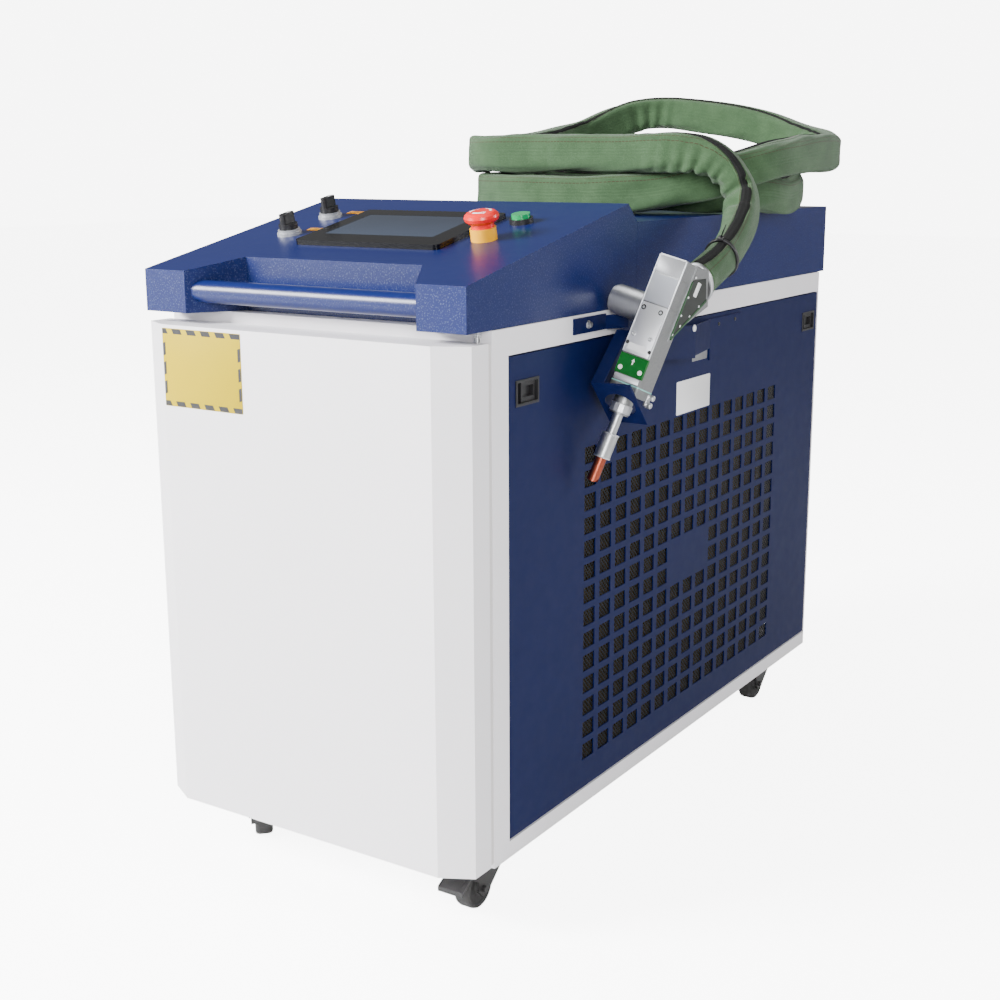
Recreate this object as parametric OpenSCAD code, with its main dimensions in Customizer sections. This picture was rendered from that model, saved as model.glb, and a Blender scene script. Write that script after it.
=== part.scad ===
// Handheld laser welding machine: wheeled cabinet, sloped console, gun in a side holder, coiled hose on top.
// The cabinet stands on the floor at z = 0, with its front towards -Y and the gun on the +X side.

/* [Frame] */
// Width over the side faces of the frame
frame_w = 454; // [440:1:470]
// Length of the frame from front posts to rear posts
frame_l = 913; // [900:1:960]
// Height of the frame from its underside to the top of its rails
frame_h = 601; // [590:1:650]
// Width of a post, across the cabinet
post_w = 30; // [24:1:32]
// Depth of a post, along the cabinet
post_d = 31; // [26:1:32]
// Height of the top rails
rail_h = 29; // [25:1:34]
// Height of the base pan's folded edge
pan_h = 20; // [16:1:26]
// Thickness of the frame's sheet
frame_sheet = 2; // [1.5:0.5:3]

/* [Panels] */
// Thickness of the side, rear and front panels
panel_sheet = 1.5; // [1:0.5:2]
// Gap all round a side panel
panel_gap = 2; // [1.5:0.5:3]
// Depth of the side panels' folded edges
panel_fold = 13; // [10:1:14]
// Distance that the front cover stands out before its bevels
cover_depth = 57; // [50:1:65]
// Depth of the bevel at the front cover's upright edges
bevel_d = 20; // [12:1:26]
// Width of the bevel at the front cover's upright edges
bevel_w = 37; // [25:1:45]
// Height of the front cover
cover_height = 585; // [570:1:588]
// Thickness of the seal behind the front cover
seal_t = 6; // [4:0.5:8]

/* [Vent grid] */
// Number of vent holes in a row
vent_columns = 15; // [9:1:15]
// Number of rows of vent holes
vent_rows = 14; // [8:1:14]
// Distance from hole to hole in a row
vent_pitch_y = 38.2; // [36:0.2:38.4]
// Distance from row to row
vent_pitch_z = 28.3; // [26:0.1:28.5]
// Length of a vent hole
vent_hole_y = 27; // [20:1:30]
// Height of a vent hole
vent_hole_z = 20; // [14:1:22]
// Distance from the front posts' front face to the first hole
vent_start_y = 195; // [190:1:205]
// Height of the first row above the frame's underside
vent_start_z = 58; // [54:1:64]

/* [Console] */
// Width of the console and the rear cover
console_w = 450.8; // [430:0.2:453]
// Distance that the console reaches in front of the posts
console_front = 43.4; // [38:0.2:50]
// Height of the console's front face
console_front_h = 48.3; // [44:0.1:60]
// Slope of the console's top
slope = 12; // [8:0.5:16]
// Length of the sloped top
slope_l = 344.6; // [330:0.2:352]
// Run of the short slope behind the ridge
ridge_back = 23.2; // [18:0.2:30]
// Height of the rear cover
rear_cover_h = 98.3; // [90:0.1:110]
// Distance that the rear cover reaches behind the frame
rear_overhang = 22; // [15:1:30]
// Width of the handle recess at its mouth
recess_w = 326; // [310:1:340]
// Width of the handle recess at its back
recess_back_w = 252; // [240:1:280]
// Depth of the handle recess
recess_d = 63; // [58:1:70]
// Diameter of the push handle
handle_d = 26; // [22:1:30]
// Thickness of the console's sheet
console_sheet = 2; // [1.5:0.5:3]

/* [Controls] */
// Width of the touch panel's bezel
hmi_w = 206; // [190:1:212]
// Height of the touch panel's bezel
hmi_h = 146; // [130:1:150]
// Height of the bezel above the console
hmi_rise = 6; // [4:0.5:9]
// Depth of the touch panel's housing inside the console
hmi_depth = 34; // [25:1:40]
// Width of the touch panel's glass
glass_w = 157; // [145:1:165]
// Height of the touch panel's glass
glass_h = 90; // [80:1:95]
// Diameter of the emergency stop's cap
stop_cap_d = 40; // [36:1:44]
// Diameter of the emergency stop's collar
stop_collar_d = 30; // [29:0.5:33]
// Height of the emergency stop's collar
stop_collar_h = 14; // [12:0.5:18]
// Travel of the emergency stop
stop_travel = 4; // [3:0.5:5]
// Diameter of the start button's base
start_d = 28; // [26:1:32]
// Travel of the start button
start_travel = 2; // [1.5:0.5:3]
// Diameter of the selectors' outer ring
selector_d = 30; // [28:1:34]
// Height of the selectors' grip
selector_h = 19; // [15:1:24]
// Diameter of the panel holes for controls
control_hole_d = 22; // [20:0.5:22]

/* [Casters] */
// Height of a caster, floor to the frame's underside
caster_h = 72; // [70:1:80]
// Diameter of a wheel
wheel_d = 50; // [44:1:54]
// Width of a wheel
wheel_w = 22; // [18:1:26]
// Distance that a wheel trails behind its kingpin
caster_trail = 33.6; // [30:0.2:38]
// Distance of the kingpins from the centre plane
caster_x = 178; // [165:1:185]
// Distance of the front kingpins behind the frame's front
caster_front_y = 62.4; // [55:0.2:75]
// Distance of the rear kingpins before the frame's rear
caster_rear_y = 62.4; // [55:0.2:75]
// Angle that the front left caster is turned at rest
front_left_turn = 45; // [0:5:90]

/* [Gun] */
// Width of the gun's housing
gun_w = 35.3; // [34:0.1:38]
// Depth of the gun's housing
gun_d = 43; // [40:1:46]
// Length of the gun's housing
gun_l = 162.7; // [158:0.1:170]
// Angle that the gun leans out from the cabinet
gun_lean_out = 14.1; // [13.8:0.1:14.8]
// Angle that the gun leans to the rear
gun_lean_back = 18.3; // [17.8:0.1:19]
// Distance of the housing's lower corner outside the frame's side
gun_out = 29; // [28:0.5:32]
// Distance of the housing's lower corner behind the frame's front
gun_behind = 193.5; // [190:0.5:198]
// Distance of the housing's lower corner below the top rails
gun_below = 81.2; // [79:0.2:83]
// Diameter of the gun's motor
motor_d = 35; // [30:1:36]
// Length of the gun's motor
motor_l = 44; // [34:1:45]
// Diameter of the nozzle tube
tube_d = 12; // [10:0.5:13]
// Distance of the copper tip's end below the housing
tip_reach = 106; // [96:1:112]
// Height of the lens drawer's front
drawer_h = 23.4; // [20:0.2:26]
// Travel of the lens drawer
drawer_travel = 30; // [20:1:30]

/* [Holder] */
// Distance that the holder's plate stands off the frame's side
holder_standoff = 16; // [15:0.5:17]
// Width of the holder's end plate
holder_cup_w = 50; // [46:1:54]
// Length of the holder's end plate
holder_cup_l = 67; // [62:1:72]
// Diameter of the hole for the nozzle
holder_hole_d = 37; // [34:1:38]
// Thickness of the holder's sheet
holder_sheet = 2; // [1.5:0.5:2.5]

/* [Cooling unit] */
// Diameter of the condenser's fan
fan_d = 300; // [260:5:320]
// Thickness of the condenser core
condenser_t = 44; // [36:1:48]
// Number of condenser fins
fin_count = 40; // [30:1:56]
// Diameter of the compressor
compressor_d = 130; // [110:5:140]
// Length of the water tank
tank_l = 220; // [180:5:240]
// Height of the water tank
tank_h = 300; // [240:10:340]

/* [Laser units] */
// Width of the laser source
source_w = 360; // [320:5:370]
// Length of the laser source
source_l = 440; // [400:5:460]
// Height of the laser source
source_h = 86; // [70:1:90]
// Length of the power supply
supply_l = 250; // [200:5:260]
// Width of the power supply
supply_w = 150; // [120:5:160]

/* [Hose] */
// Width of the hose sleeve
sleeve_w = 44; // [40:1:46]
// Height of the hose sleeve
sleeve_h = 54; // [50:1:55]

/* [Hidden] */
$fn = 64;

// Clearances, seats and the overrun of cuts
seat = 0.3;
run_fit = 0.06;
slip = 0.3;
over = 1;

// Places that follow from the frame
half_w = frame_w / 2;
z_pan = caster_h + pan_h;
z_top = caster_h + frame_h;
z_rail = z_top - rail_h;
panel_x = half_w - panel_sheet / 2;
panel_front = post_d + panel_gap;
panel_rear = frame_l - panel_gap - panel_sheet;
panel_low = z_pan + panel_gap;
panel_high = z_rail - panel_gap;
z_console = z_top + seat;
console_half = console_w / 2;
ridge_y = slope_l * cos(slope) - console_front;
ridge_z = console_front_h + slope_l * sin(slope);
step_y = ridge_y + ridge_back;
rear_y = frame_l + rear_overhang;
z_cover_top = z_console + rear_cover_h;
module slope_at(x, s) {
    translate([x, s * cos(slope) - console_front, z_console + console_front_h + s * sin(slope)])
        rotate([slope, 0, 0]) children();
}

// The gun's own axes: x outwards, y to the rear, z along the gun
gun_corner = [half_w + gun_out, gun_behind, z_top - gun_below];
axis_x = gun_w / 2;
axis_y = 16;
module gun_place() {
    translate(gun_corner) rotate([0, gun_lean_out, 0]) rotate([-gun_lean_back, 0, 0]) children();
}

// The origin is below the middle of the whole machine, gun included
gun_reach_x = gun_corner[0] + gun_w * cos(gun_lean_out) + gun_l * sin(gun_lean_out) * cos(gun_lean_back);
shift_x = (gun_reach_x - half_w) / 2;
shift_y = (rear_y - cover_depth) / 2;
module placed() {
    translate([-shift_x, -shift_y, 0]) children();
}

// Colours
powder_white = [0.91, 0.9, 0.91];
powder_blue = [0.13, 0.19, 0.45];
black = [0.08, 0.08, 0.09];
steel = [0.72, 0.73, 0.75];
grey = [0.35, 0.37, 0.4];

// Shared shapes
module box(low, high) {
    translate(low) cube(high - low);
}
module along_x(from, to) {
    translate([from, 0, 0]) rotate([90, 0, 90]) linear_extrude(to - from) children();
}
module along_y(from, to) {
    translate([0, to, 0]) rotate([90, 0, 0]) linear_extrude(to - from) children();
}
module rounded(w, h, r) {
    hull() for (x = [-1, 1], y = [-1, 1]) translate([x * (w / 2 - r), y * (h / 2 - r)]) circle(r, $fn = 32);
}
module ring(outer, inner, h) {
    difference() {
        cylinder(r = outer, h = h);
        translate([0, 0, -over]) cylinder(r = inner, h = h + 2 * over);
    }
}

// Frame
module base_pan() {
    placed() color(powder_white) difference() {
        box([-half_w, 0, caster_h], [half_w, frame_l, z_pan]);
        box([frame_sheet - half_w, frame_sheet, caster_h + frame_sheet],
            [half_w - frame_sheet, frame_l - frame_sheet, z_pan - frame_sheet]);
        box([post_w - half_w, post_d, caster_h + frame_sheet],
            [half_w - post_w, frame_l - post_d, z_pan + over]);
    }
}
rear_post_in = panel_fold + seat;
module post(w, d) {
    difference() {
        box([0, 0, z_pan], [w, d, z_rail]);
        box([frame_sheet, frame_sheet, z_pan - over], [w - frame_sheet, d - frame_sheet, z_rail + over]);
    }
}
module frame_posts() {
    placed() color(powder_white) for (side = [0, 1]) mirror([side, 0, 0]) {
        translate([half_w - post_w, 0, 0]) post(post_w, post_d);
        translate([half_w - post_w - rear_post_in, frame_l - post_d, 0]) post(post_w, post_d);
        box([half_w - rear_post_in - frame_sheet, frame_l - frame_sheet, z_pan], [half_w, frame_l, z_rail]);
    }
}
module top_rails() {
    placed() color(powder_white) difference() {
        box([-half_w, 0, z_rail], [half_w, frame_l, z_top]);
        box([frame_sheet - half_w, frame_sheet, z_rail + frame_sheet],
            [half_w - frame_sheet, frame_l - frame_sheet, z_top - frame_sheet]);
        box([post_w - half_w, post_d, z_rail - over], [half_w - post_w, frame_l - post_d, z_top + over]);
    }
}

// Front cover: a folded tray with bevelled upright edges
cover_gap_top = 12.2;
cover_low = z_top - cover_gap_top - cover_height;
cover_back = seal_t + seat;
cover_lip = 14;
tab_in = 60;
tab_w = 10;
tab_h = 30;
function cover_outline() = [
    [-half_w, -cover_back], [-half_w, bevel_d - cover_depth], [bevel_w - half_w, -cover_depth],
    [half_w - bevel_w, -cover_depth], [half_w, bevel_d - cover_depth], [half_w, -cover_back]
];
module front_cover() {
    placed() color(powder_white) translate([0, 0, cover_low]) difference() {
        linear_extrude(cover_height) polygon(cover_outline());
        translate([0, 0, panel_sheet]) linear_extrude(cover_height - 2 * panel_sheet)
            offset(delta = -panel_sheet) polygon(cover_outline());
        box([cover_lip - half_w, -cover_back - panel_sheet - over, cover_lip],
            [half_w - cover_lip, over, cover_height - cover_lip]);
    }
    placed() color(powder_white) for (side = [0, 1], z = [tab_in, cover_height - tab_in - tab_h])
        mirror([side, 0, 0]) translate([half_w - cover_lip, 0, cover_low + z])
            box([-tab_w, -cover_back - panel_sheet, 0], [over, -seat, tab_h]);
}

// Side panels with the vent grid and the latches' cut-outs
latch_l = 46.5;
latch_h = 28.5;
latch_face = 1.2;
latch_wall = 3;
latch_body = 11;
latch_down = 41;
latch_z = panel_high - latch_down;
latch_in = 36;
latch_places = [panel_front + latch_in, panel_rear - latch_in + panel_sheet];
blank_columns = [6, 8];
blank_rows = [6, 7];
function vent_y(c) = vent_start_y + c * vent_pitch_y;
function vent_z(r) = caster_h + vent_start_z + r * vent_pitch_z;
function is_blank(c, r) =
    c >= blank_columns[0] && c <= blank_columns[1] && r >= blank_rows[0] && r <= blank_rows[1];
module vents() {
    for (c = [0 : vent_columns - 1], r = [0 : vent_rows - 1])
        if (!is_blank(c, r)) translate([vent_y(c), vent_z(r)]) square([vent_hole_y, vent_hole_z]);
}
module side_panel() {
    along_x(panel_x - panel_sheet, panel_x) difference() {
        translate([panel_front, panel_low]) square([panel_rear - panel_front, panel_high - panel_low]);
        vents();
        for (y = latch_places) translate([y, latch_z])
            square([latch_l - latch_wall, latch_h - latch_wall], center = true);
    }
    difference() {
        box([half_w - panel_fold, panel_front, panel_low], [panel_x - panel_sheet, panel_rear, panel_high]);
        box([half_w - panel_fold - over, panel_front + panel_sheet, panel_low + panel_sheet],
            [panel_x, panel_rear - panel_sheet, panel_high - panel_sheet]);
    }
}
module right_panel() {
    placed() color(powder_blue) side_panel();
}
module left_panel() {
    placed() color(powder_blue) mirror([1, 0, 0]) side_panel();
}

// Latches: a frame set in the panel and a sprung slide with a finger cup
slide_l = 28.6;
slide_travel = 5;
slide_h = latch_h - 2 * latch_wall - 2 * seat;
slide_t = 7;
cup_l = 20;
cup_t = 5;
module latch_frame(y) {
    translate([0, y, latch_z]) difference() {
        union() {
            box([panel_x, -latch_l / 2, -latch_h / 2], [panel_x + latch_face, latch_l / 2, latch_h / 2]);
            box([panel_x - latch_body, seat + (latch_wall - latch_l) / 2,
                seat + (latch_wall - latch_h) / 2],
                [panel_x, (latch_l - latch_wall) / 2 - seat, (latch_h - latch_wall) / 2 - seat]);
        }
        box([panel_x - latch_body + panel_sheet, latch_wall - latch_l / 2, latch_wall - latch_h / 2],
            [panel_x + latch_face + over, latch_l / 2 - latch_wall, latch_h / 2 - latch_wall]);
    }
}
module latch_slide(y) {
    base_x = panel_x - latch_body + panel_sheet + seat;
    end = latch_l / 2 - latch_wall - seat;
    translate([0, y, latch_z]) difference() {
        box([base_x, end - slide_l, -slide_h / 2], [base_x + slide_t, end, slide_h / 2]);
        box([base_x + slide_t - cup_t, end - slide_l / 2 - cup_l / 2, cup_t - slide_h / 2],
            [base_x + slide_t + over, end - slide_l / 2 + cup_l / 2, slide_h / 2 - cup_t]);
    }
}
module right_latches() {
    placed() color(black) for (y = latch_places) latch_frame(y);
}
module left_latches() {
    placed() color(black) mirror([1, 0, 0]) for (y = latch_places) latch_frame(y);
}
module latch_slide_right_front() {
    placed() color(black) latch_slide(latch_places[0]);
}
module latch_slide_right_rear() {
    placed() color(black) latch_slide(latch_places[1]);
}
module latch_slide_left_front() {
    placed() color(black) mirror([1, 0, 0]) latch_slide(latch_places[0]);
}
module latch_slide_left_rear() {
    placed() color(black) mirror([1, 0, 0]) latch_slide(latch_places[1]);
}

// Edges of the vent grid, which the cooling unit behind it follows
vent_margin = 8;
vent_end_y = vent_y(vent_columns - 1) + vent_hole_y;
vent_end_z = vent_z(vent_rows - 1) + vent_hole_z;

// Rear panel with its louvres and the holes for fittings
louvre_count = 12;
louvre_l = 120;
louvre_h = 6;
louvre_pitch = 14;
louvre_x = 85;
louvre_up = 300;
louvre_z = caster_h + louvre_up;
fitting_up = 120;
fitting_z = caster_h + fitting_up;
gas_x = 120;
mains_x = -120;
drain_x = 0;
filler_up = 500;
filler_z = caster_h + filler_up;
filler_x = -120;
switch_x = 100;
switch_down = 67;
switch_z = z_rail - switch_down;
switch_w = 54;
switch_h = 90;
gas_hole_r = 8;
mains_hole_r = 13;
filler_hole_r = 19;
drain_hole_r = 8;
rear_face = frame_l + seat + panel_sheet;
rear_margin = 5;
rear_half = half_w - rear_margin;
module rear_panel() {
    placed() color(powder_blue) along_y(frame_l + seat, rear_face) difference() {
        translate([-rear_half, panel_low]) square([2 * rear_half, panel_high - panel_low]);
        for (side = [-1, 1], i = [0 : louvre_count - 1])
            translate([side * louvre_x, louvre_z + i * louvre_pitch])
                square([louvre_l, louvre_h], center = true);
        translate([gas_x, fitting_z]) circle(gas_hole_r + slip);
        translate([mains_x, fitting_z]) circle(mains_hole_r + slip);
        translate([drain_x, fitting_z]) circle(drain_hole_r + slip);
        translate([filler_x, filler_z]) circle(filler_hole_r + slip);
        translate([switch_x, switch_z]) square([switch_w + 2 * slip, switch_h + 2 * slip], center = true);
    }
}

// Rear fittings: gas inlet, mains gland, drain and filler neck
gas_bore_r = 5;
mains_bore_r = 7;
fitting_l = 16;
neck_in = 30;
nut_h = 5;
neck_wall = 3;
module fitting(x, z, hole_r, bore_r, nut_r) {
    translate([x, rear_face, z]) rotate([-90, 0, 0]) difference() {
        union() {
            translate([0, 0, -neck_in]) cylinder(r = hole_r, h = neck_in + over);
            cylinder(r = nut_r, h = nut_h, $fn = 6);
            cylinder(r = hole_r, h = fitting_l);
        }
        translate([0, 0, -neck_in - over]) cylinder(r = bore_r, h = neck_in + fitting_l + 2 * over);
    }
}
module rear_fittings() {
    placed() color(steel) {
        fitting(gas_x, fitting_z, gas_hole_r, gas_bore_r, gas_hole_r * 1.6);
        fitting(mains_x, fitting_z, mains_hole_r, mains_bore_r, mains_hole_r * 1.5);
        fitting(drain_x, fitting_z, drain_hole_r, gas_bore_r, drain_hole_r * 1.6);
        translate([filler_x, rear_face, filler_z]) rotate([-90, 0, 0]) difference() {
            union() {
                translate([0, 0, -neck_in]) cylinder(r = filler_hole_r, h = neck_in + nut_h);
                cylinder(r = filler_hole_r + neck_wall, h = frame_sheet);
            }
            translate([0, 0, -neck_in - over]) cylinder(r = filler_hole_r - neck_wall, h = 2 * neck_in);
        }
    }
}
cap_h = 9;
cap_wall = 3;
cap_grips = 12;
module filler_cap() {
    bore = filler_hole_r + run_fit;
    outer = filler_hole_r + cap_wall;
    placed() color(black) translate([filler_x, rear_face + frame_sheet + seat, filler_z])
        rotate([-90, 0, 0])
        difference() {
            union() {
                cylinder(r = outer, h = cap_h);
                for (i = [0 : cap_grips - 1]) rotate(i * 360 / cap_grips) translate([outer, 0, 0])
                    cylinder(r = cap_wall / 2, h = cap_h);
            }
            translate([0, 0, -over]) cylinder(r = bore, h = nut_h - frame_sheet + over);
        }
}

// Mains switch with its lever
switch_rise = 4;
switch_in = 28;
lever_w = 30;
lever_r = 6;
lever_grip = 5;
lever_pin_r = 2;
module mains_switch() {
    placed() color(black) translate([switch_x, rear_face, switch_z]) difference() {
        box([-switch_w / 2, -switch_in, -switch_h / 2], [switch_w / 2, switch_rise, switch_h / 2]);
        box([-lever_w / 2 - slip, -2 * lever_r, -2 * lever_r],
            [lever_w / 2 + slip, switch_rise + over, 2 * lever_r]);
        translate([-switch_w / 2 + lever_pin_r, 0, 0]) rotate([0, 90, 0])
            cylinder(r = lever_pin_r + run_fit, h = switch_w - 2 * lever_pin_r);
    }
}
module mains_lever() {
    placed() color(black) translate([switch_x, rear_face, switch_z]) {
        translate([-lever_w / 2, 0, 0]) rotate([0, 90, 0]) cylinder(r = lever_r, h = lever_w);
        translate([lever_w / 2 - over, 0, 0]) rotate([0, 90, 0])
            cylinder(r = lever_pin_r, h = lever_r + over);
        translate([-lever_w / 2 - lever_r, 0, 0]) rotate([0, 90, 0])
            cylinder(r = lever_pin_r, h = lever_r + over);
        box([-lever_w / 2, 0, lever_grip - frame_sheet], [lever_w / 2, lever_r + lever_grip, lever_grip]);
    }
}

// Console: a folded shell with a sloped top and a splayed recess for the push handle
function console_side() = [
    [-console_front, 0], [-console_front, console_front_h], [ridge_y, ridge_z],
    [step_y, rear_cover_h], [step_y, 0]
];
function recess_plan(grow) = [
    [-recess_w / 2 - grow, -console_front - over], [-recess_w / 2 - grow, -console_front],
    [-recess_back_w / 2 - grow, recess_d - console_front],
    [recess_back_w / 2 + grow, recess_d - console_front],
    [recess_w / 2 + grow, -console_front], [recess_w / 2 + grow, -console_front - over]
];
module console_plan() {
    difference() {
        translate([-console_half, -console_front]) square([console_w, step_y + console_front]);
        polygon(recess_plan(0));
    }
}
hmi_x = 3;
hmi_s = 194;
stop_x = 136;
stop_s = 170;
start_x = 138;
start_s = 246;
selector_x = [-144, -147];
selector_s = [164, 247];
control_places = [
    [stop_x, stop_s], [start_x, start_s], [selector_x[0], selector_s[0]], [selector_x[1], selector_s[1]]
];
bezel_lip = 7;
module console_shell() {
    placed() color(powder_blue) difference() {
        intersection() {
            translate([0, 0, z_console]) along_x(-console_half, console_half) polygon(console_side());
            translate([0, 0, z_console - over]) linear_extrude(ridge_z + 2 * over) console_plan();
        }
        intersection() {
            translate([0, 0, z_console]) along_x(-console_half, console_half) difference() {
                offset(delta = -console_sheet) union() {
                    polygon(console_side());
                    translate([-console_front, -rear_cover_h])
                        square([step_y + console_front, rear_cover_h + over]);
                }
                translate([-2 * console_front, -2 * rear_cover_h])
                    square([2 * console_front, 2 * rear_cover_h + console_sheet]);
            }
            translate([0, 0, z_console - rear_cover_h]) linear_extrude(2 * ridge_z)
                offset(delta = -console_sheet) console_plan();
        }
        slope_at(hmi_x, hmi_s)
            linear_extrude(4 * console_sheet, center = true)
                square([hmi_w - 2 * (bezel_lip - slip), hmi_h - 2 * (bezel_lip - slip)], center = true);
        for (c = control_places) slope_at(c[0], c[1])
            cylinder(d = control_hole_d + 2 * slip, h = 4 * console_sheet, center = true);
    }
}
handle_y = -25;
handle_z = z_console + console_front_h / 2;
module push_handle() {
    placed() color(powder_blue) intersection() {
        translate([-recess_w, handle_y, handle_z]) rotate([0, 90, 0])
            cylinder(d = handle_d, h = 2 * recess_w);
        translate([0, 0, z_console - over]) linear_extrude(ridge_z) polygon(recess_plan(-seat));
    }
}

// Rear cover, open below, with the hose's hole
gland_x = -40;
gland_y = 700;
gland_r = 34;
gland_neck_r = 29;
gland_bore_r = 20;
gland_h = 14;
module rear_cover() {
    placed() color(powder_blue) difference() {
        box([-console_half, step_y + seat, z_console], [console_half, rear_y, z_cover_top]);
        box([console_sheet - console_half, step_y + seat + console_sheet, z_console - over],
            [console_half - console_sheet, rear_y - console_sheet, z_cover_top - console_sheet]);
        translate([gland_x, gland_y, z_cover_top])
            cylinder(r = gland_neck_r + slip, h = 4 * console_sheet, center = true);
    }
}
module hose_gland() {
    placed() color(black) translate([gland_x, gland_y, z_cover_top]) difference() {
        union() {
            cylinder(r = gland_r, h = gland_h / 2);
            translate([0, 0, -gland_h]) cylinder(r = gland_neck_r, h = 2 * gland_h);
        }
        translate([0, 0, -gland_h - over]) cylinder(r = gland_bore_r, h = 2 * (gland_h + over));
    }
}

// Touch panel
glass_t = 1.5;
glass_up = 8;
module hmi_bezel() {
    placed() color(black) slope_at(hmi_x, hmi_s) difference() {
        union() {
            linear_extrude(hmi_rise) rounded(hmi_w, hmi_h, hmi_rise);
            translate([0, 0, -hmi_depth]) linear_extrude(hmi_depth + over)
                rounded(hmi_w - 2 * bezel_lip, hmi_h - 2 * bezel_lip, hmi_rise);
        }
        translate([-bezel_lip / 2, glass_up / 2, hmi_rise - glass_t]) linear_extrude(glass_t + over)
            square([glass_w, glass_h], center = true);
    }
}
module hmi_screen() {
    placed() color([0.35, 0.4, 0.5]) slope_at(hmi_x, hmi_s)
        translate([-bezel_lip / 2, glass_up / 2, hmi_rise - glass_t + seat / 2])
            linear_extrude(glass_t - seat) square([glass_w - 2 * slip, glass_h - 2 * slip], center = true);
}

// Selectors
shank_l = 24;
stem_r = 5;
ring_h = 7;
module selector_ring() {
    difference() {
        union() {
            cylinder(d = selector_d, h = ring_h / 2);
            cylinder(d = selector_d - ring_h / 2, h = ring_h);
            translate([0, 0, -shank_l]) cylinder(d = control_hole_d, h = shank_l + over);
        }
        translate([0, 0, -shank_l / 2]) cylinder(r = stem_r + run_fit, h = shank_l + ring_h);
    }
}
module selector_rings() {
    placed() color(steel) for (i = [0, 1]) slope_at(selector_x[i], selector_s[i]) selector_ring();
}
grip_w = 9;
module selector_knob() {
    base_d = selector_d - ring_h;
    translate([0, 0, ring_h + seat]) {
        cylinder(d = base_d, h = selector_h / 3);
        linear_extrude(selector_h) hull() {
            translate([0, base_d / 2 - grip_w / 2]) circle(d = grip_w, $fn = 32);
            translate([0, grip_w / 2 - base_d / 2]) circle(d = grip_w, $fn = 32);
        }
    }
    translate([0, 0, ring_h - shank_l / 2]) cylinder(r = stem_r, h = shank_l / 2 + over);
}
module front_selector() {
    placed() color(black) slope_at(selector_x[0], selector_s[0]) selector_knob();
}
module rear_selector() {
    placed() color(black) slope_at(selector_x[1], selector_s[1]) selector_knob();
}

// Emergency stop: collar, sliding stem and turning cap
stop_wall = 2;
stop_skirt_r = stop_collar_d / 2 - stop_wall - slip;
spindle_r = 4;
cap_gap = 1;
cap_under = stop_collar_h + stop_travel + cap_gap;
cap_rise = 14;
module e_stop_collar() {
    placed() color([0.95, 0.72, 0.1]) slope_at(stop_x, stop_s) difference() {
        union() {
            cylinder(d = stop_collar_d, h = stop_collar_h);
            translate([0, 0, -shank_l]) cylinder(d = control_hole_d, h = shank_l + over);
        }
        translate([0, 0, stop_wall]) cylinder(r = stop_skirt_r + slip, h = stop_collar_h);
        translate([0, 0, -shank_l / 2]) cylinder(r = stem_r + run_fit, h = shank_l);
    }
}
module e_stop_stem() {
    placed() color([0.75, 0.1, 0.1]) slope_at(stop_x, stop_s) {
        translate([0, 0, stop_wall + stop_travel + seat])
            cylinder(r = stop_skirt_r, h = cap_under - stop_wall - stop_travel - 2 * seat);
        translate([0, 0, stop_travel - shank_l / 2 + seat])
            cylinder(r = stem_r, h = shank_l / 2 + stop_wall + over);
        translate([0, 0, cap_under - over]) cylinder(r = spindle_r, h = cap_rise / 2 + over);
    }
}
module e_stop_cap() {
    cap_r = stop_cap_d / 2;
    placed() color([0.85, 0.15, 0.13]) slope_at(stop_x, stop_s) translate([0, 0, cap_under]) difference() {
        rotate_extrude() polygon([
            [0, 0], [0.72 * cap_r, 0], [0.94 * cap_r, 0.25 * cap_rise], [cap_r, 0.5 * cap_rise],
            [0.95 * cap_r, 0.72 * cap_rise], [0.8 * cap_r, 0.9 * cap_rise], [0.5 * cap_r, cap_rise],
            [0, cap_rise]
        ]);
        translate([0, 0, -over]) cylinder(r = spindle_r + run_fit, h = cap_rise / 2 + over + seat);
    }
}

// Start button
lens_rim = 3;
lens_r = start_d / 2 - lens_rim;
lens_rise = 11;
base_rise = 6;
module start_button_base() {
    placed() color(black) slope_at(start_x, start_s) difference() {
        union() {
            cylinder(d = start_d, h = base_rise);
            translate([0, 0, -shank_l]) cylinder(d = control_hole_d, h = shank_l + over);
        }
        translate([0, 0, stop_wall]) cylinder(r = lens_r + slip, h = base_rise);
        translate([0, 0, -shank_l / 2]) cylinder(r = stem_r + run_fit, h = shank_l);
    }
}
module start_button_lens() {
    placed() color([0.1, 0.7, 0.4]) slope_at(start_x, start_s) {
        translate([0, 0, stop_wall + start_travel + seat])
            cylinder(r = lens_r, h = lens_rise - stop_wall - start_travel - seat);
        translate([0, 0, start_travel - shank_l / 2 + seat])
            cylinder(r = stem_r, h = shank_l / 2 + stop_wall + over);
    }
}

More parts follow.
